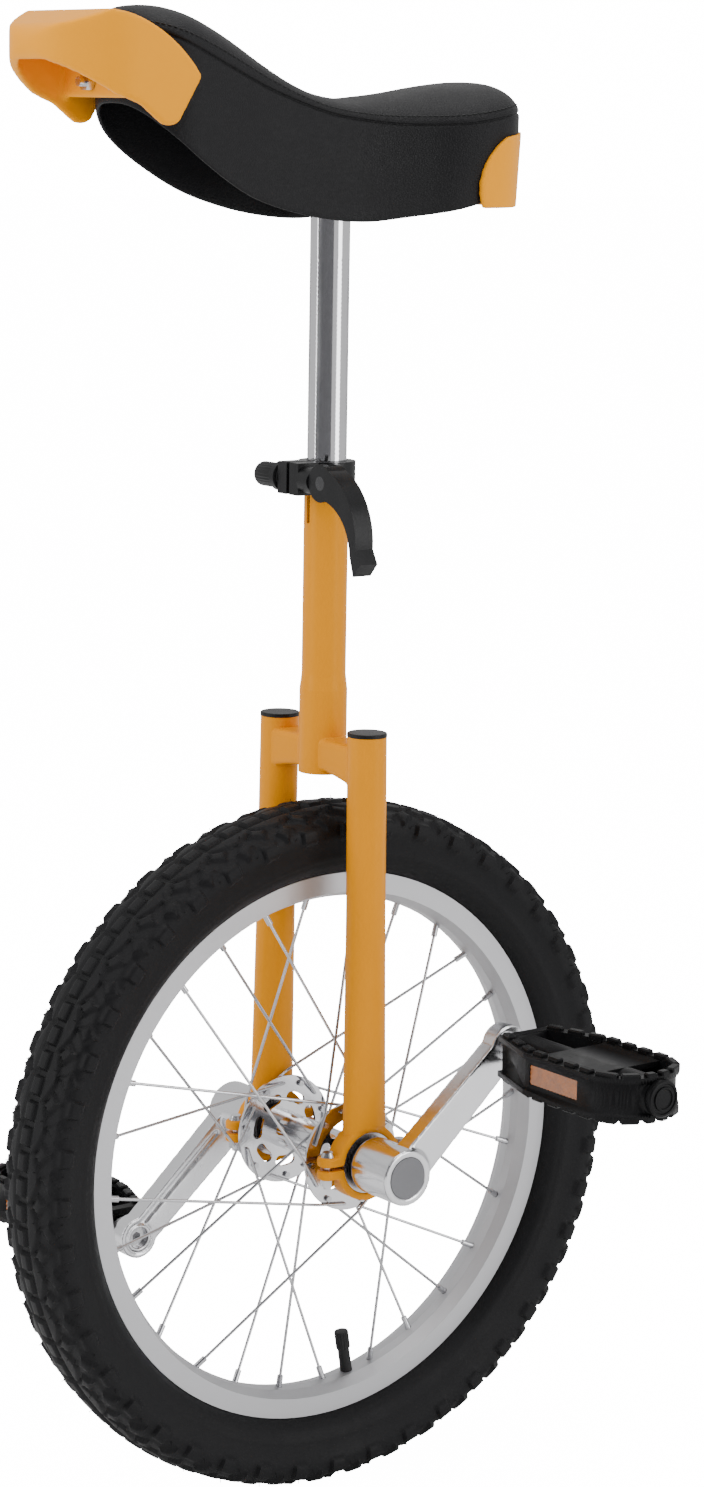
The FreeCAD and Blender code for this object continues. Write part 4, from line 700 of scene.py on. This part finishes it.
def build_saddle():
    sizes = settings("saddle")
    count = 144
    outline = saddle_outline(count)
    spine_low, spine_high = -126.0, 66.0
    rings = [("top", s) for s in (0.0, 0.15, 0.3, 0.45, 0.6, 0.72, 0.82, 0.9, 0.955, 0.985)]
    rings += [("seam", (0.2, 0.3)), ("seam", (-1.1, -0.2)), ("seam", (-1.3, -0.9)), ("seam", (0.4, -1.7))]
    rings += [("skirt", s) for s in (0.07, 0.2, 0.35, 0.5, 0.65, 0.8, 0.92, 0.98)]
    rings += [("lip", (-0.6, 0.6)), ("lip", (-1.8, 0.8)), ("lip", (-2.6, -0.2)), ("lip", (-2.7, -2.0))]
    rings += [("inner", s) for s in (0.8, 0.55, 0.3, 0.1)]
    rings += [("roof", s) for s in (0.97, 0.6, 0.3, 0.0)]

    def skirt(x, y, share):
        low = along(SADDLE_LOW, y)
        seam = along(SADDLE_SEAM, y)
        narrow = 1 - share * (0.04 + 0.10 * min(1.0, max(0.0, (y + 30) / 110.0)))
        bulge = 1.6 * math.sin(math.pi * min(1.0, share * 1.15))
        side = Vector((x, y * 0.25, 0)).normalized() if abs(x) + abs(y) else Vector((0, 1, 0))
        return Vector((x * narrow, y, seam - 1.5 + (low - seam + 1.5) * share)) + side * bulge

    def place(column, row):
        x, y = outline[column % count]
        kind, value = rings[row]
        stem = max(spine_low, min(spine_high, y))
        inward = Vector((-x, stem - y, 0))
        inward = inward.normalized() if inward.length > 1e-6 else Vector((0, 0, 0))
        if kind == "top" or kind == "roof":
            px, py = x * value, stem + (y - stem) * value
            if kind == "top":
                point = Vector((px, py, top_height(px, py, sizes.crown)))
            else:
                inset = inward * 2.9 * value
                drop = along(SADDLE_SEAM, py) - BASE_DROP
                point = Vector((px, py, drop)) + inset
        elif kind == "seam":
            out, up = value
            point = Vector((x, y, along(SADDLE_SEAM, y) + up)) - inward * out
        elif kind == "skirt":
            point = skirt(x, y, value)
        elif kind == "lip":
            out, up = value
            point = skirt(x, y, 1.0) - inward * out - Vector((0, 0, up * 0.6))
        else:
            point = skirt(x, y, value) + inward * 2.8
            point.z = min(point.z, along(SADDLE_SEAM, y) - BASE_DROP)
        return point * MM

    bm = shaped_sheet(count, len(rings) - 1, place)
    outward(bm, 2e-5)
    piece = new_piece(bm, "saddle_cover", "saddle", "cover_vinyl", ("seat_cover", "seat_foam"), 180.0)
    smooth = piece.modifiers.new("fullness", "SUBSURF")
    smooth.levels = 1
    smooth.render_levels = 1
    build_stitches(outline, sizes)


def build_stitches(outline, sizes):
    """One row of thread beside the seam that joins the top panel to the skirt."""
    bm = bmesh.new()
    count = len(outline)
    length = sum(math.dist(outline[i], outline[(i + 1) % count]) for i in range(count))
    number = int(length * MM / sizes.stitch_length)
    path = saddle_outline(number)
    for i in range(number):
        x0, y0 = path[i]
        x1, y1 = path[(i + 1) % number]
        middle = Vector(((x0 + x1) / 2, (y0 + y1) / 2, 0))
        inset = 1 - 2.6 / max(20.0, math.hypot(middle.x, 20.0))
        px = middle.x * inset
        py = max(outline[0][1] + 3.0, min(outline[count // 2][1] - 3.0, middle.y))
        height = top_height(px, py, sizes.crown)
        rise = along(SADDLE_SEAM, y1) - along(SADDLE_SEAM, y0)
        heading = Vector((x1 - x0, y1 - y0, rise)).normalized()
        centre = Vector((px, py, height + 0.12)) * MM
        half = heading * 1.25 * MM
        add_rod(bm, centre - half, centre + half, 0.34 * MM, 6)
    new_piece(bm, "seam_thread", "saddle", "thread_black", (), 60.0)


# ---------------------------------------------------------------- plastic handle and bumper
def build_handle():
    bm = eased_skin(node_copy("front_handle"), 1.4 * MM, 7)
    new_piece(bm, "handle_moulding", "saddle", "handle_plastic", ("front_handle",), 180.0)


def build_bumper():
    bm = eased_skin(node_copy("rear_bumper"), 1.1 * MM, 5)
    new_piece(bm, "bumper_moulding", "saddle", "handle_plastic", ("rear_bumper",), 180.0)


# ---------------------------------------------------------------- welded frame
def build_crown():
    cell = settings("frame").weld
    low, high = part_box("crown_arms")
    bm = node_copy("crown_arms")
    add_tube(bm, low.z + 2 * MM, high.z + 4 * MM, 15.15 * MM, 13.3 * MM)
    for side in (-1, 1):
        foot = Vector((side * 48.0 * MM, 0, low.z - 3 * MM))
        head = Vector((side * 47.6 * MM, 0, high.z + 1 * MM))
        add_rod(bm, foot, head, 12.35 * MM, 48)
    skin = eased_skin(bm, cell, 12)
    new_piece(skin, "crown_weldment", "frame", "frame_paint", ("crown_arms",), 180.0)


def build_holders():
    cell = settings("frame").weld
    for side, word in ((1, "left"), (-1, "right")):
        bm = node_copy("bearing_holder_" + word)
        foot = Vector((side * 51.4 * MM, 0, AXLE.z + 24 * MM))
        leg = add_rod(bm, foot - Vector((0, 0, 2 * MM)), foot + Vector((0, 0, 14 * MM)), 1.0, 48)
        for vert in leg:
            vert.co.x = foot.x + (vert.co.x - foot.x) * 9.3 * MM
            vert.co.y = (vert.co.y - foot.y) * 15.6 * MM
        skin = eased_skin(bm, cell, 6)
        new_piece(skin, "holder_forging_" + word, "frame", "frame_paint", ("bearing_holder_" + word,), 180.0)
        cap = eased_skin(node_copy("bearing_cap_" + word), cell, 4)
        new_piece(cap, "cap_forging_" + word, "frame", "frame_paint", ("bearing_cap_" + word,), 180.0)


# ---------------------------------------------------------------- cranks
def build_cranks():
    for word in ("left", "right"):
        bm = eased_skin(node_copy("crank_" + word), 0.85 * MM, 5)
        new_piece(bm, "crank_forging_" + word, "wheel", "crank_alloy", ("crank_" + word,), 180.0)


# ---------------------------------------------------------------- pedals
def pedal_edge(inset):
    """Points round a pedal's plate, with the heading of its edge, about a tooth apart."""
    corners = [(-66, -21), (-20, -35), (40, -35), (58, -27), (66, -12), (68, 0), (66, 12), (58, 27), (40, 35),
               (-20, 35), (-66, 21)]
    points = []
    for (x0, y0), (x1, y1) in zip(corners, corners[1:]):
        run = math.hypot(x1 - x0, y1 - y0)
        steps = max(1, round(run / 15.0))
        for k in range(steps):
            t = (k + 0.5) / steps
            nx, ny = (y1 - y0) / run, -(x1 - x0) / run
            points.append((x0 + (x1 - x0) * t - nx * inset, y0 + (y1 - y0) * t - ny * inset,
                           math.atan2(y1 - y0, x1 - x0), run / steps))
    return points


def build_pedals():
    for side, word, centre in ((1, "left", LEFT_PEDAL), (-1, "right", RIGHT_PEDAL)):
        bm = node_copy("pedal_body_" + word)
        low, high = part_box("pedal_body_" + word)
        middle = (low.x + high.x) / 2
        half = (high.z - low.z) / 2
        for up in (-1, 1):
            for x, y, heading, run in pedal_edge(4.2):
                place = Matrix.Translation((middle + side * x * MM, centre.y + y * MM, centre.z + up * half))
                turn = Matrix.Rotation(side * heading, 4, "Z")
                add_block(bm, (max(5.0, run - 5.0) * MM, 5.6 * MM, 5.0 * MM), place @ turn, 0.9 * MM)
        new_piece(bm, "pedal_cage_" + word, "pedal_" + word, "pedal_plastic", ("pedal_body_" + word,), 30.0)


def build_reflectors():
    for word, pedal in (("left", LEFT_PEDAL), ("right", RIGHT_PEDAL)):
        bm = bmesh.new()
        source = node_copy("pedal_reflectors_" + word)
        centres = {}
        for vert in source.verts:
            centres.setdefault(vert.co.y > pedal.y, []).append(vert.co.copy())
        source.free()
        for outer, corners in centres.items():
            low = Vector([min(c[i] for c in corners) for i in range(3)])
            high = Vector([max(c[i] for c in corners) for i in range(3)])
            columns, rows = 30, 8

            def place(column, row):
                x = low.x + (high.x - low.x) * column / columns
                z = low.z + (high.z - low.z) * row / rows
                peak = 0.55 * MM if (column + row) % 2 else 0.0
                y = high.y - 0.5 * MM + peak if outer else low.y + 0.5 * MM - peak
                return Vector((x, y, z))

            face = shaped_sheet(columns, rows, place)
            back = bmesh.ops.extrude_face_region(face, geom=face.faces[:])["geom"]
            rear = low.y if outer else high.y
            for item in back:
                if isinstance(item, bmesh.types.BMVert):
                    item.co.y = rear
            outward(face)
            add_mesh(bm, face)
        new_piece(bm, "reflector_lens_" + word, "pedal_" + word, "reflector_amber",
                  ("pedal_reflectors_" + word,), 15.0)


def build_end_caps():
    """Pedal end caps: plain turned discs with two raised rings."""
    profile = ((0.0, 4.3), (2.5, 4.3), (6.2, 4.1), (6.5, 4.9), (7.6, 4.9), (7.9, 3.9), (9.4, 3.8), (9.8, 4.5),
               (11.2, 4.3), (12.0, 3.4), (12.2, 1.0), (12.0, 0.1), (9.0, 0.1), (9.0, -6.0), (0.0, -6.0))
    for side, word, centre in ((1, "left", LEFT_PEDAL), (-1, "right", RIGHT_PEDAL)):
        low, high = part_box("pedal_end_cap_" + word)
        face = high.x - 4.0 * MM if side > 0 else low.x + 4.0 * MM
        bm = bmesh.new()
        verts = [bm.verts.new((face + side * x * MM, centre.y + r * MM, centre.z)) for r, x in profile]
        for a, b in zip(verts, verts[1:]):
            bm.edges.new((a, b))
        bmesh.ops.spin(bm, geom=bm.verts[:] + bm.edges[:], axis=(1, 0, 0), cent=centre, dvec=(0, 0, 0),
                       angle=2 * math.pi, steps=48, use_merge=True)
        outward(bm, 1e-6)
        new_piece(bm, "pedal_cap_" + word, "pedal_" + word, "pedal_plastic", ("pedal_end_cap_" + word,), 25.0)


# ---------------------------------------------------------------- seat post
def build_post():
    sizes = settings("post")
    low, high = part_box("seat_post")
    radius = high.x
    columns = 60
    span = sizes.knurl_high - sizes.knurl_low
    band = round(span / (1.5 * MM))
    heights = [(radius - 2 * MM, low.z), (radius, low.z), (radius, (low.z + sizes.knurl_low) / 2)]
    heights += [(radius, sizes.knurl_low + span * k / band) for k in range(band + 1)]
    heights += [(radius, (high.z + sizes.knurl_high) / 2), (radius, high.z), (0.0, high.z)]
    heights += [(0.0, high.z - 4 * MM), (radius - 2 * MM, high.z - 4 * MM), (radius - 2 * MM, low.z)]

    def place(column, row):
        r, z = heights[row]
        if 3 < row < 3 + band and (column + row) % 2:
            r -= sizes.knurl_depth
        angle = 2 * math.pi * column / columns
        return Vector((r * math.cos(angle), r * math.sin(angle), z))

    bm = shaped_sheet(columns, len(heights) - 1, place)
    outward(bm, 1e-7)
    new_piece(bm, "knurled_post", "saddle", "post_chrome", ("seat_post",), 45.0)


# ---------------------------------------------------------------- small ribbed pieces
def ribbed_rod(start, end, radius, ribs, depth):
    """Round bar with ribs along it and eased ends."""
    columns = ribs * 4
    line = end - start
    turn = line.to_track_quat("Z", "Y")
    rows = ((0.0, 0.0), (0.72, 0.0), (0.94, 0.02), (1.0, 0.07), (1.0, 0.93), (0.94, 0.98), (0.72, 1.0),
            (0.0, 1.0))

    def place(column, row):
        share, run = rows[row]
        angle = 2 * math.pi * column / columns
        r = radius * share
        if 2 < row < 5 and column % 4 in (0, 3):
            r -= depth
        return start + line * run + turn @ Vector((r * math.cos(angle), r * math.sin(angle), 0))

    bm = shaped_sheet(columns, len(rows) - 1, place)
    outward(bm, 1e-7)
    return bm


def build_valve_cap():
    low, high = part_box("valve_cap")
    middle = (low + high) / 2
    heading = (AXLE - middle).normalized()
    half = 6.4 * MM
    bm = ribbed_rod(middle - heading * half, middle + heading * half, 4.8 * MM, 16, 0.5 * MM)
    new_piece(bm, "valve_cap_ribbed", "wheel", "valve_rubber", ("valve_cap",), 40.0)


def build_clamp_nut():
    low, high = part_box("clamp_nut")
    y = (low.y + high.y) / 2
    z = (low.z + high.z) / 2
    bm = ribbed_rod(Vector((low.x, y, z)), Vector((high.x - 4.5 * MM, y, z)), 8.0 * MM, 24, 0.45 * MM)
    collar = ribbed_rod(Vector((high.x - 5.2 * MM, y, z)), Vector((high.x, y, z)), 9.5 * MM, 12, 0.0)
    add_mesh(bm, collar)
    new_piece(bm, "clamp_nut_ribbed", "qr_nut", "clamp_black", ("clamp_nut",), 40.0)


# ---------------------------------------------------------------- CAD pieces that stay
def finish_cad_pieces():
    """Gives every CAD piece that stays its finish."""
    for name, piece in cad_nodes.items():
        for holder in piece.material_slots:
            holder.material = finishes[holder.material.name.split(".")[0]]


# ---------------------------------------------------------------- stage
VIEW_AZIMUTH = math.radians(52.92)
VIEW_ELEVATION = math.radians(10.14)
VIEW_ROLL = math.radians(0.96)
VIEW_DISTANCE = 2.2797
VIEW_AIM = (0.0191, 0.4978)
VIEW_LENS = 85.15
ROOM_LIGHT = 0.82             # how bright the surroundings light the object
CARD_TONE = (0.10, 0.10, 0.104)
CARD_TURN = 0.48              # how far the card hangs to the camera's left, as a slope
CARD_DISTANCE = 1.3
CARD_WIDTH = 2.9
CARD_LOW, CARD_HIGH = 0.2, 2.0
FLOOR_SIZE = 30.0


def view_axes():
    right = Vector((math.cos(VIEW_AZIMUTH), math.sin(VIEW_AZIMUTH), 0))
    back = Vector((math.sin(VIEW_AZIMUTH) * math.cos(VIEW_ELEVATION),
                   -math.cos(VIEW_AZIMUTH) * math.cos(VIEW_ELEVATION), math.sin(VIEW_ELEVATION)))
    return right, back


def place_camera():
    right, back = view_axes()
    up = back.cross(right)
    place = Vector((0, 0, VIEW_AIM[1])) + right * VIEW_AIM[0] + back * VIEW_DISTANCE
    c, s = math.cos(VIEW_ROLL), math.sin(VIEW_ROLL)
    across = right * c + up * s
    rise = up * c - right * s
    lens = bpy.data.cameras.new("view")
    lens.lens = VIEW_LENS
    lens.sensor_width = 36.0
    lens.clip_end = 50.0
    camera = bpy.data.objects.new("view", lens)
    turn = Matrix((across, rise, back)).transposed().to_4x4()
    camera.matrix_world = Matrix.Translation(place) @ turn
    bpy.context.scene.collection.objects.link(camera)
    bpy.context.scene.camera = camera


def soft_light(name, place, size, power):
    """Large soft lamp turned to the middle of the object."""
    lamp = bpy.data.lights.new(name, "AREA")
    lamp.shape = "RECTANGLE"
    lamp.size, lamp.size_y = size
    lamp.energy = power
    holder = bpy.data.objects.new(name, lamp)
    turn = (Vector((0, 0, 0.5)) - place).to_track_quat("-Z", "Y")
    holder.matrix_world = Matrix.Translation(place) @ turn.to_matrix().to_4x4()
    bpy.context.scene.collection.objects.link(holder)


def light_room():
    """Even pale surroundings that look white to the camera."""
    world = bpy.data.worlds.new("studio")
    bpy.context.scene.world = world
    world.use_nodes = True
    tree = world.node_tree
    sky = tree.nodes["Background"]
    glow = settings("stage").glow
    seen = node(tree, "ShaderNodeLightPath").outputs["Is Camera Ray"]
    shade = blended(tree, seen, (ROOM_LIGHT,) * 3 + (1.0,), (glow,) * 3 + (1.0,))
    tree.links.new(shade, sky.inputs["Color"])
    sky.inputs["Strength"].default_value = 1.0


def stage_sheet(bm, name, finish):
    """Turns a finished mesh into a piece of the stage."""
    mesh = bpy.data.meshes.new(name)
    bm.to_mesh(mesh)
    bm.free()
    mesh.materials.append(finish)
    sheet = bpy.data.objects.new(name, mesh)
    bpy.context.scene.collection.objects.link(sheet)
    return sheet


def hang_card(place):
    """Grey card that only polished pieces see, for the dark bands along their rounds."""
    across = Vector((-place.y, place.x, 0)).normalized() * CARD_WIDTH

    def corner(column, row):
        return place + across * (column - 0.5) + Vector((0, 0, (CARD_LOW, CARD_HIGH)[row]))

    cloth = new_finish("card_cloth", CARD_TONE, smooth=0.9, rough=1.0, relief=300.0, level=0.0)
    card = stage_sheet(shaped_sheet(1, 1, corner), "grey_card", cloth)
    card.visible_camera = False
    card.visible_diffuse = False
    card.visible_shadow = False
    card.visible_transmission = False


def floor_finish(sizes):
    """Pale paper that looks brighter to the camera than the light it gives back."""
    made = new_finish("floor_paper", sizes.backdrop, second=1.01, tone=1.0, smooth=0.7, rough=0.8,
                      relief=300.0, depth=0.02)
    tree = made.node_tree
    shader = tree.nodes["Principled BSDF"]
    seen = node(tree, "ShaderNodeLightPath").outputs["Is Camera Ray"]
    shown = blended(tree, seen, (0.0, 0.0, 0.0, 1.0), (1.0, 1.0, 1.0, 1.0))
    tree.links.new(shown, shader.inputs["Emission Color"])
    shader.inputs["Emission Strength"].default_value = sizes.glow - 1.0
    return made


def build_stage():
    sizes = settings("stage")
    place_camera()
    light_room()
    bm = bmesh.new()
    bmesh.ops.create_grid(bm, x_segments=1, y_segments=1, size=FLOOR_SIZE)
    stage_sheet(bm, "floor", floor_finish(sizes))
    right, back = view_axes()
    flat = Vector((back.x, back.y, 0)).normalized()
    hang_card((flat - right * CARD_TURN).normalized() * CARD_DISTANCE)
    soft_light("left_softbox", -right * 1.9 + flat * 0.9 + Vector((0, 0, 1.2)), (1.0, 2.0), sizes.light)
    soft_light("right_softbox", right * 1.9 + flat * 1.0 + Vector((0, 0, 1.1)), (1.0, 2.0), sizes.light * 0.8)
    soft_light("top_softbox", Vector((0, 0, 2.6)), (1.6, 1.6), sizes.light * 0.9)


# ---------------------------------------------------------------- operators
class UNICYCLE_OT_finishes(bpy.types.Operator):
    """Makes the materials of every finish"""
    bl_idname = "unicycle.finishes"
    bl_label = "Finishes"

    def execute(self, context):
        build_finishes()
        return {"FINISHED"}


class UNICYCLE_OT_stage(bpy.types.Operator):
    """Makes the camera, the floor and the soft lights"""
    bl_idname = "unicycle.stage"
    bl_label = "Stage"

    def execute(self, context):
        build_stage()
        return {"FINISHED"}


class UNICYCLE_OT_tyre(bpy.types.Operator):
    """Makes the knobbly tyre"""
    bl_idname = "unicycle.tyre"
    bl_label = "Tyre"

    def execute(self, context):
        build_tyre()
        return {"FINISHED"}


class UNICYCLE_OT_saddle(bpy.types.Operator):
    """Makes the saddle's padded cover and its seam"""
    bl_idname = "unicycle.saddle"
    bl_label = "Saddle"

    def execute(self, context):
        build_saddle()
        return {"FINISHED"}


class UNICYCLE_OT_handle(bpy.types.Operator):
    """Makes the front handle"""
    bl_idname = "unicycle.handle"
    bl_label = "Handle"

    def execute(self, context):
        build_handle()
        return {"FINISHED"}


class UNICYCLE_OT_bumper(bpy.types.Operator):
    """Makes the rear bumper"""
    bl_idname = "unicycle.bumper"
    bl_label = "Bumper"

    def execute(self, context):
        build_bumper()
        return {"FINISHED"}


class UNICYCLE_OT_crown(bpy.types.Operator):
    """Makes the welded crown"""
    bl_idname = "unicycle.crown"
    bl_label = "Crown"

    def execute(self, context):
        build_crown()
        return {"FINISHED"}


class UNICYCLE_OT_holders(bpy.types.Operator):
    """Makes the bearing holders and their caps"""
    bl_idname = "unicycle.holders"
    bl_label = "Holders"

    def execute(self, context):
        build_holders()
        return {"FINISHED"}


class UNICYCLE_OT_cranks(bpy.types.Operator):
    """Makes the two forged cranks"""
    bl_idname = "unicycle.cranks"
    bl_label = "Cranks"

    def execute(self, context):
        build_cranks()
        return {"FINISHED"}


class UNICYCLE_OT_pedals(bpy.types.Operator):
    """Makes the two pedal cages"""
    bl_idname = "unicycle.pedals"
    bl_label = "Pedals"

    def execute(self, context):
        build_pedals()
        return {"FINISHED"}


class UNICYCLE_OT_reflectors(bpy.types.Operator):
    """Makes the pedals' reflectors"""
    bl_idname = "unicycle.reflectors"
    bl_label = "Reflectors"

    def execute(self, context):
        build_reflectors()
        return {"FINISHED"}


class UNICYCLE_OT_end_caps(bpy.types.Operator):
    """Makes the pedals' end caps"""
    bl_idname = "unicycle.end_caps"
    bl_label = "End caps"

    def execute(self, context):
        build_end_caps()
        return {"FINISHED"}


class UNICYCLE_OT_post(bpy.types.Operator):
    """Makes the knurled seat post"""
    bl_idname = "unicycle.post"
    bl_label = "Seat post"

    def execute(self, context):
        build_post()
        return {"FINISHED"}


class UNICYCLE_OT_valve_cap(bpy.types.Operator):
    """Makes the ribbed valve cap"""
    bl_idname = "unicycle.valve_cap"
    bl_label = "Valve cap"

    def execute(self, context):
        build_valve_cap()
        return {"FINISHED"}


class UNICYCLE_OT_clamp_nut(bpy.types.Operator):
    """Makes the ribbed nut of the seat clamp"""
    bl_idname = "unicycle.clamp_nut"
    bl_label = "Clamp nut"

    def execute(self, context):
        build_clamp_nut()
        return {"FINISHED"}


class UNICYCLE_OT_cad_pieces(bpy.types.Operator):
    """Gives the CAD pieces that stay their finish"""
    bl_idname = "unicycle.cad_pieces"
    bl_label = "Other pieces"

    def execute(self, context):
        finish_cad_pieces()
        return {"FINISHED"}


OPERATORS = (
    UNICYCLE_OT_finishes, UNICYCLE_OT_stage, UNICYCLE_OT_tyre, UNICYCLE_OT_saddle, UNICYCLE_OT_handle,
    UNICYCLE_OT_bumper, UNICYCLE_OT_crown, UNICYCLE_OT_holders, UNICYCLE_OT_cranks, UNICYCLE_OT_pedals,
    UNICYCLE_OT_reflectors, UNICYCLE_OT_end_caps, UNICYCLE_OT_post, UNICYCLE_OT_valve_cap,
    UNICYCLE_OT_clamp_nut, UNICYCLE_OT_cad_pieces,
)
GROUPS = {"tyre": UNICYCLE_PG_tyre, "saddle": UNICYCLE_PG_saddle, "frame": UNICYCLE_PG_frame,
          "post": UNICYCLE_PG_post, "stage": UNICYCLE_PG_stage}


class UNICYCLE_PT_panel(bpy.types.Panel):
    """Sizes, colours and the buttons that build each piece"""
    bl_idname = "UNICYCLE_PT_panel"
    bl_label = "Unicycle"
    bl_space_type = "VIEW_3D"
    bl_region_type = "UI"
    bl_category = "Unicycle"

    def draw(self, context):
        for name, group in GROUPS.items():
            box = self.layout.box()
            box.label(text=name.capitalize())
            for key in group.__annotations__:
                box.prop(settings(name), key)
        for operator in OPERATORS:
            self.layout.operator(operator.bl_idname)


def register():
    for name, group in GROUPS.items():
        bpy.utils.register_class(group)
        setattr(bpy.types.Scene, "unicycle_" + name, bpy.props.PointerProperty(type=group))
    for made in (*OPERATORS, UNICYCLE_PT_panel):
        bpy.utils.register_class(made)


def unregister():
    for made in (UNICYCLE_PT_panel, *reversed(OPERATORS)):
        bpy.utils.unregister_class(made)
    for name, group in GROUPS.items():
        delattr(bpy.types.Scene, "unicycle_" + name)
        bpy.utils.unregister_class(group)


def main():
    register()
    for operator in OPERATORS:
        getattr(bpy.ops.unicycle, operator.bl_idname.split(".")[1])()


if __name__ == "__main__":
    main()
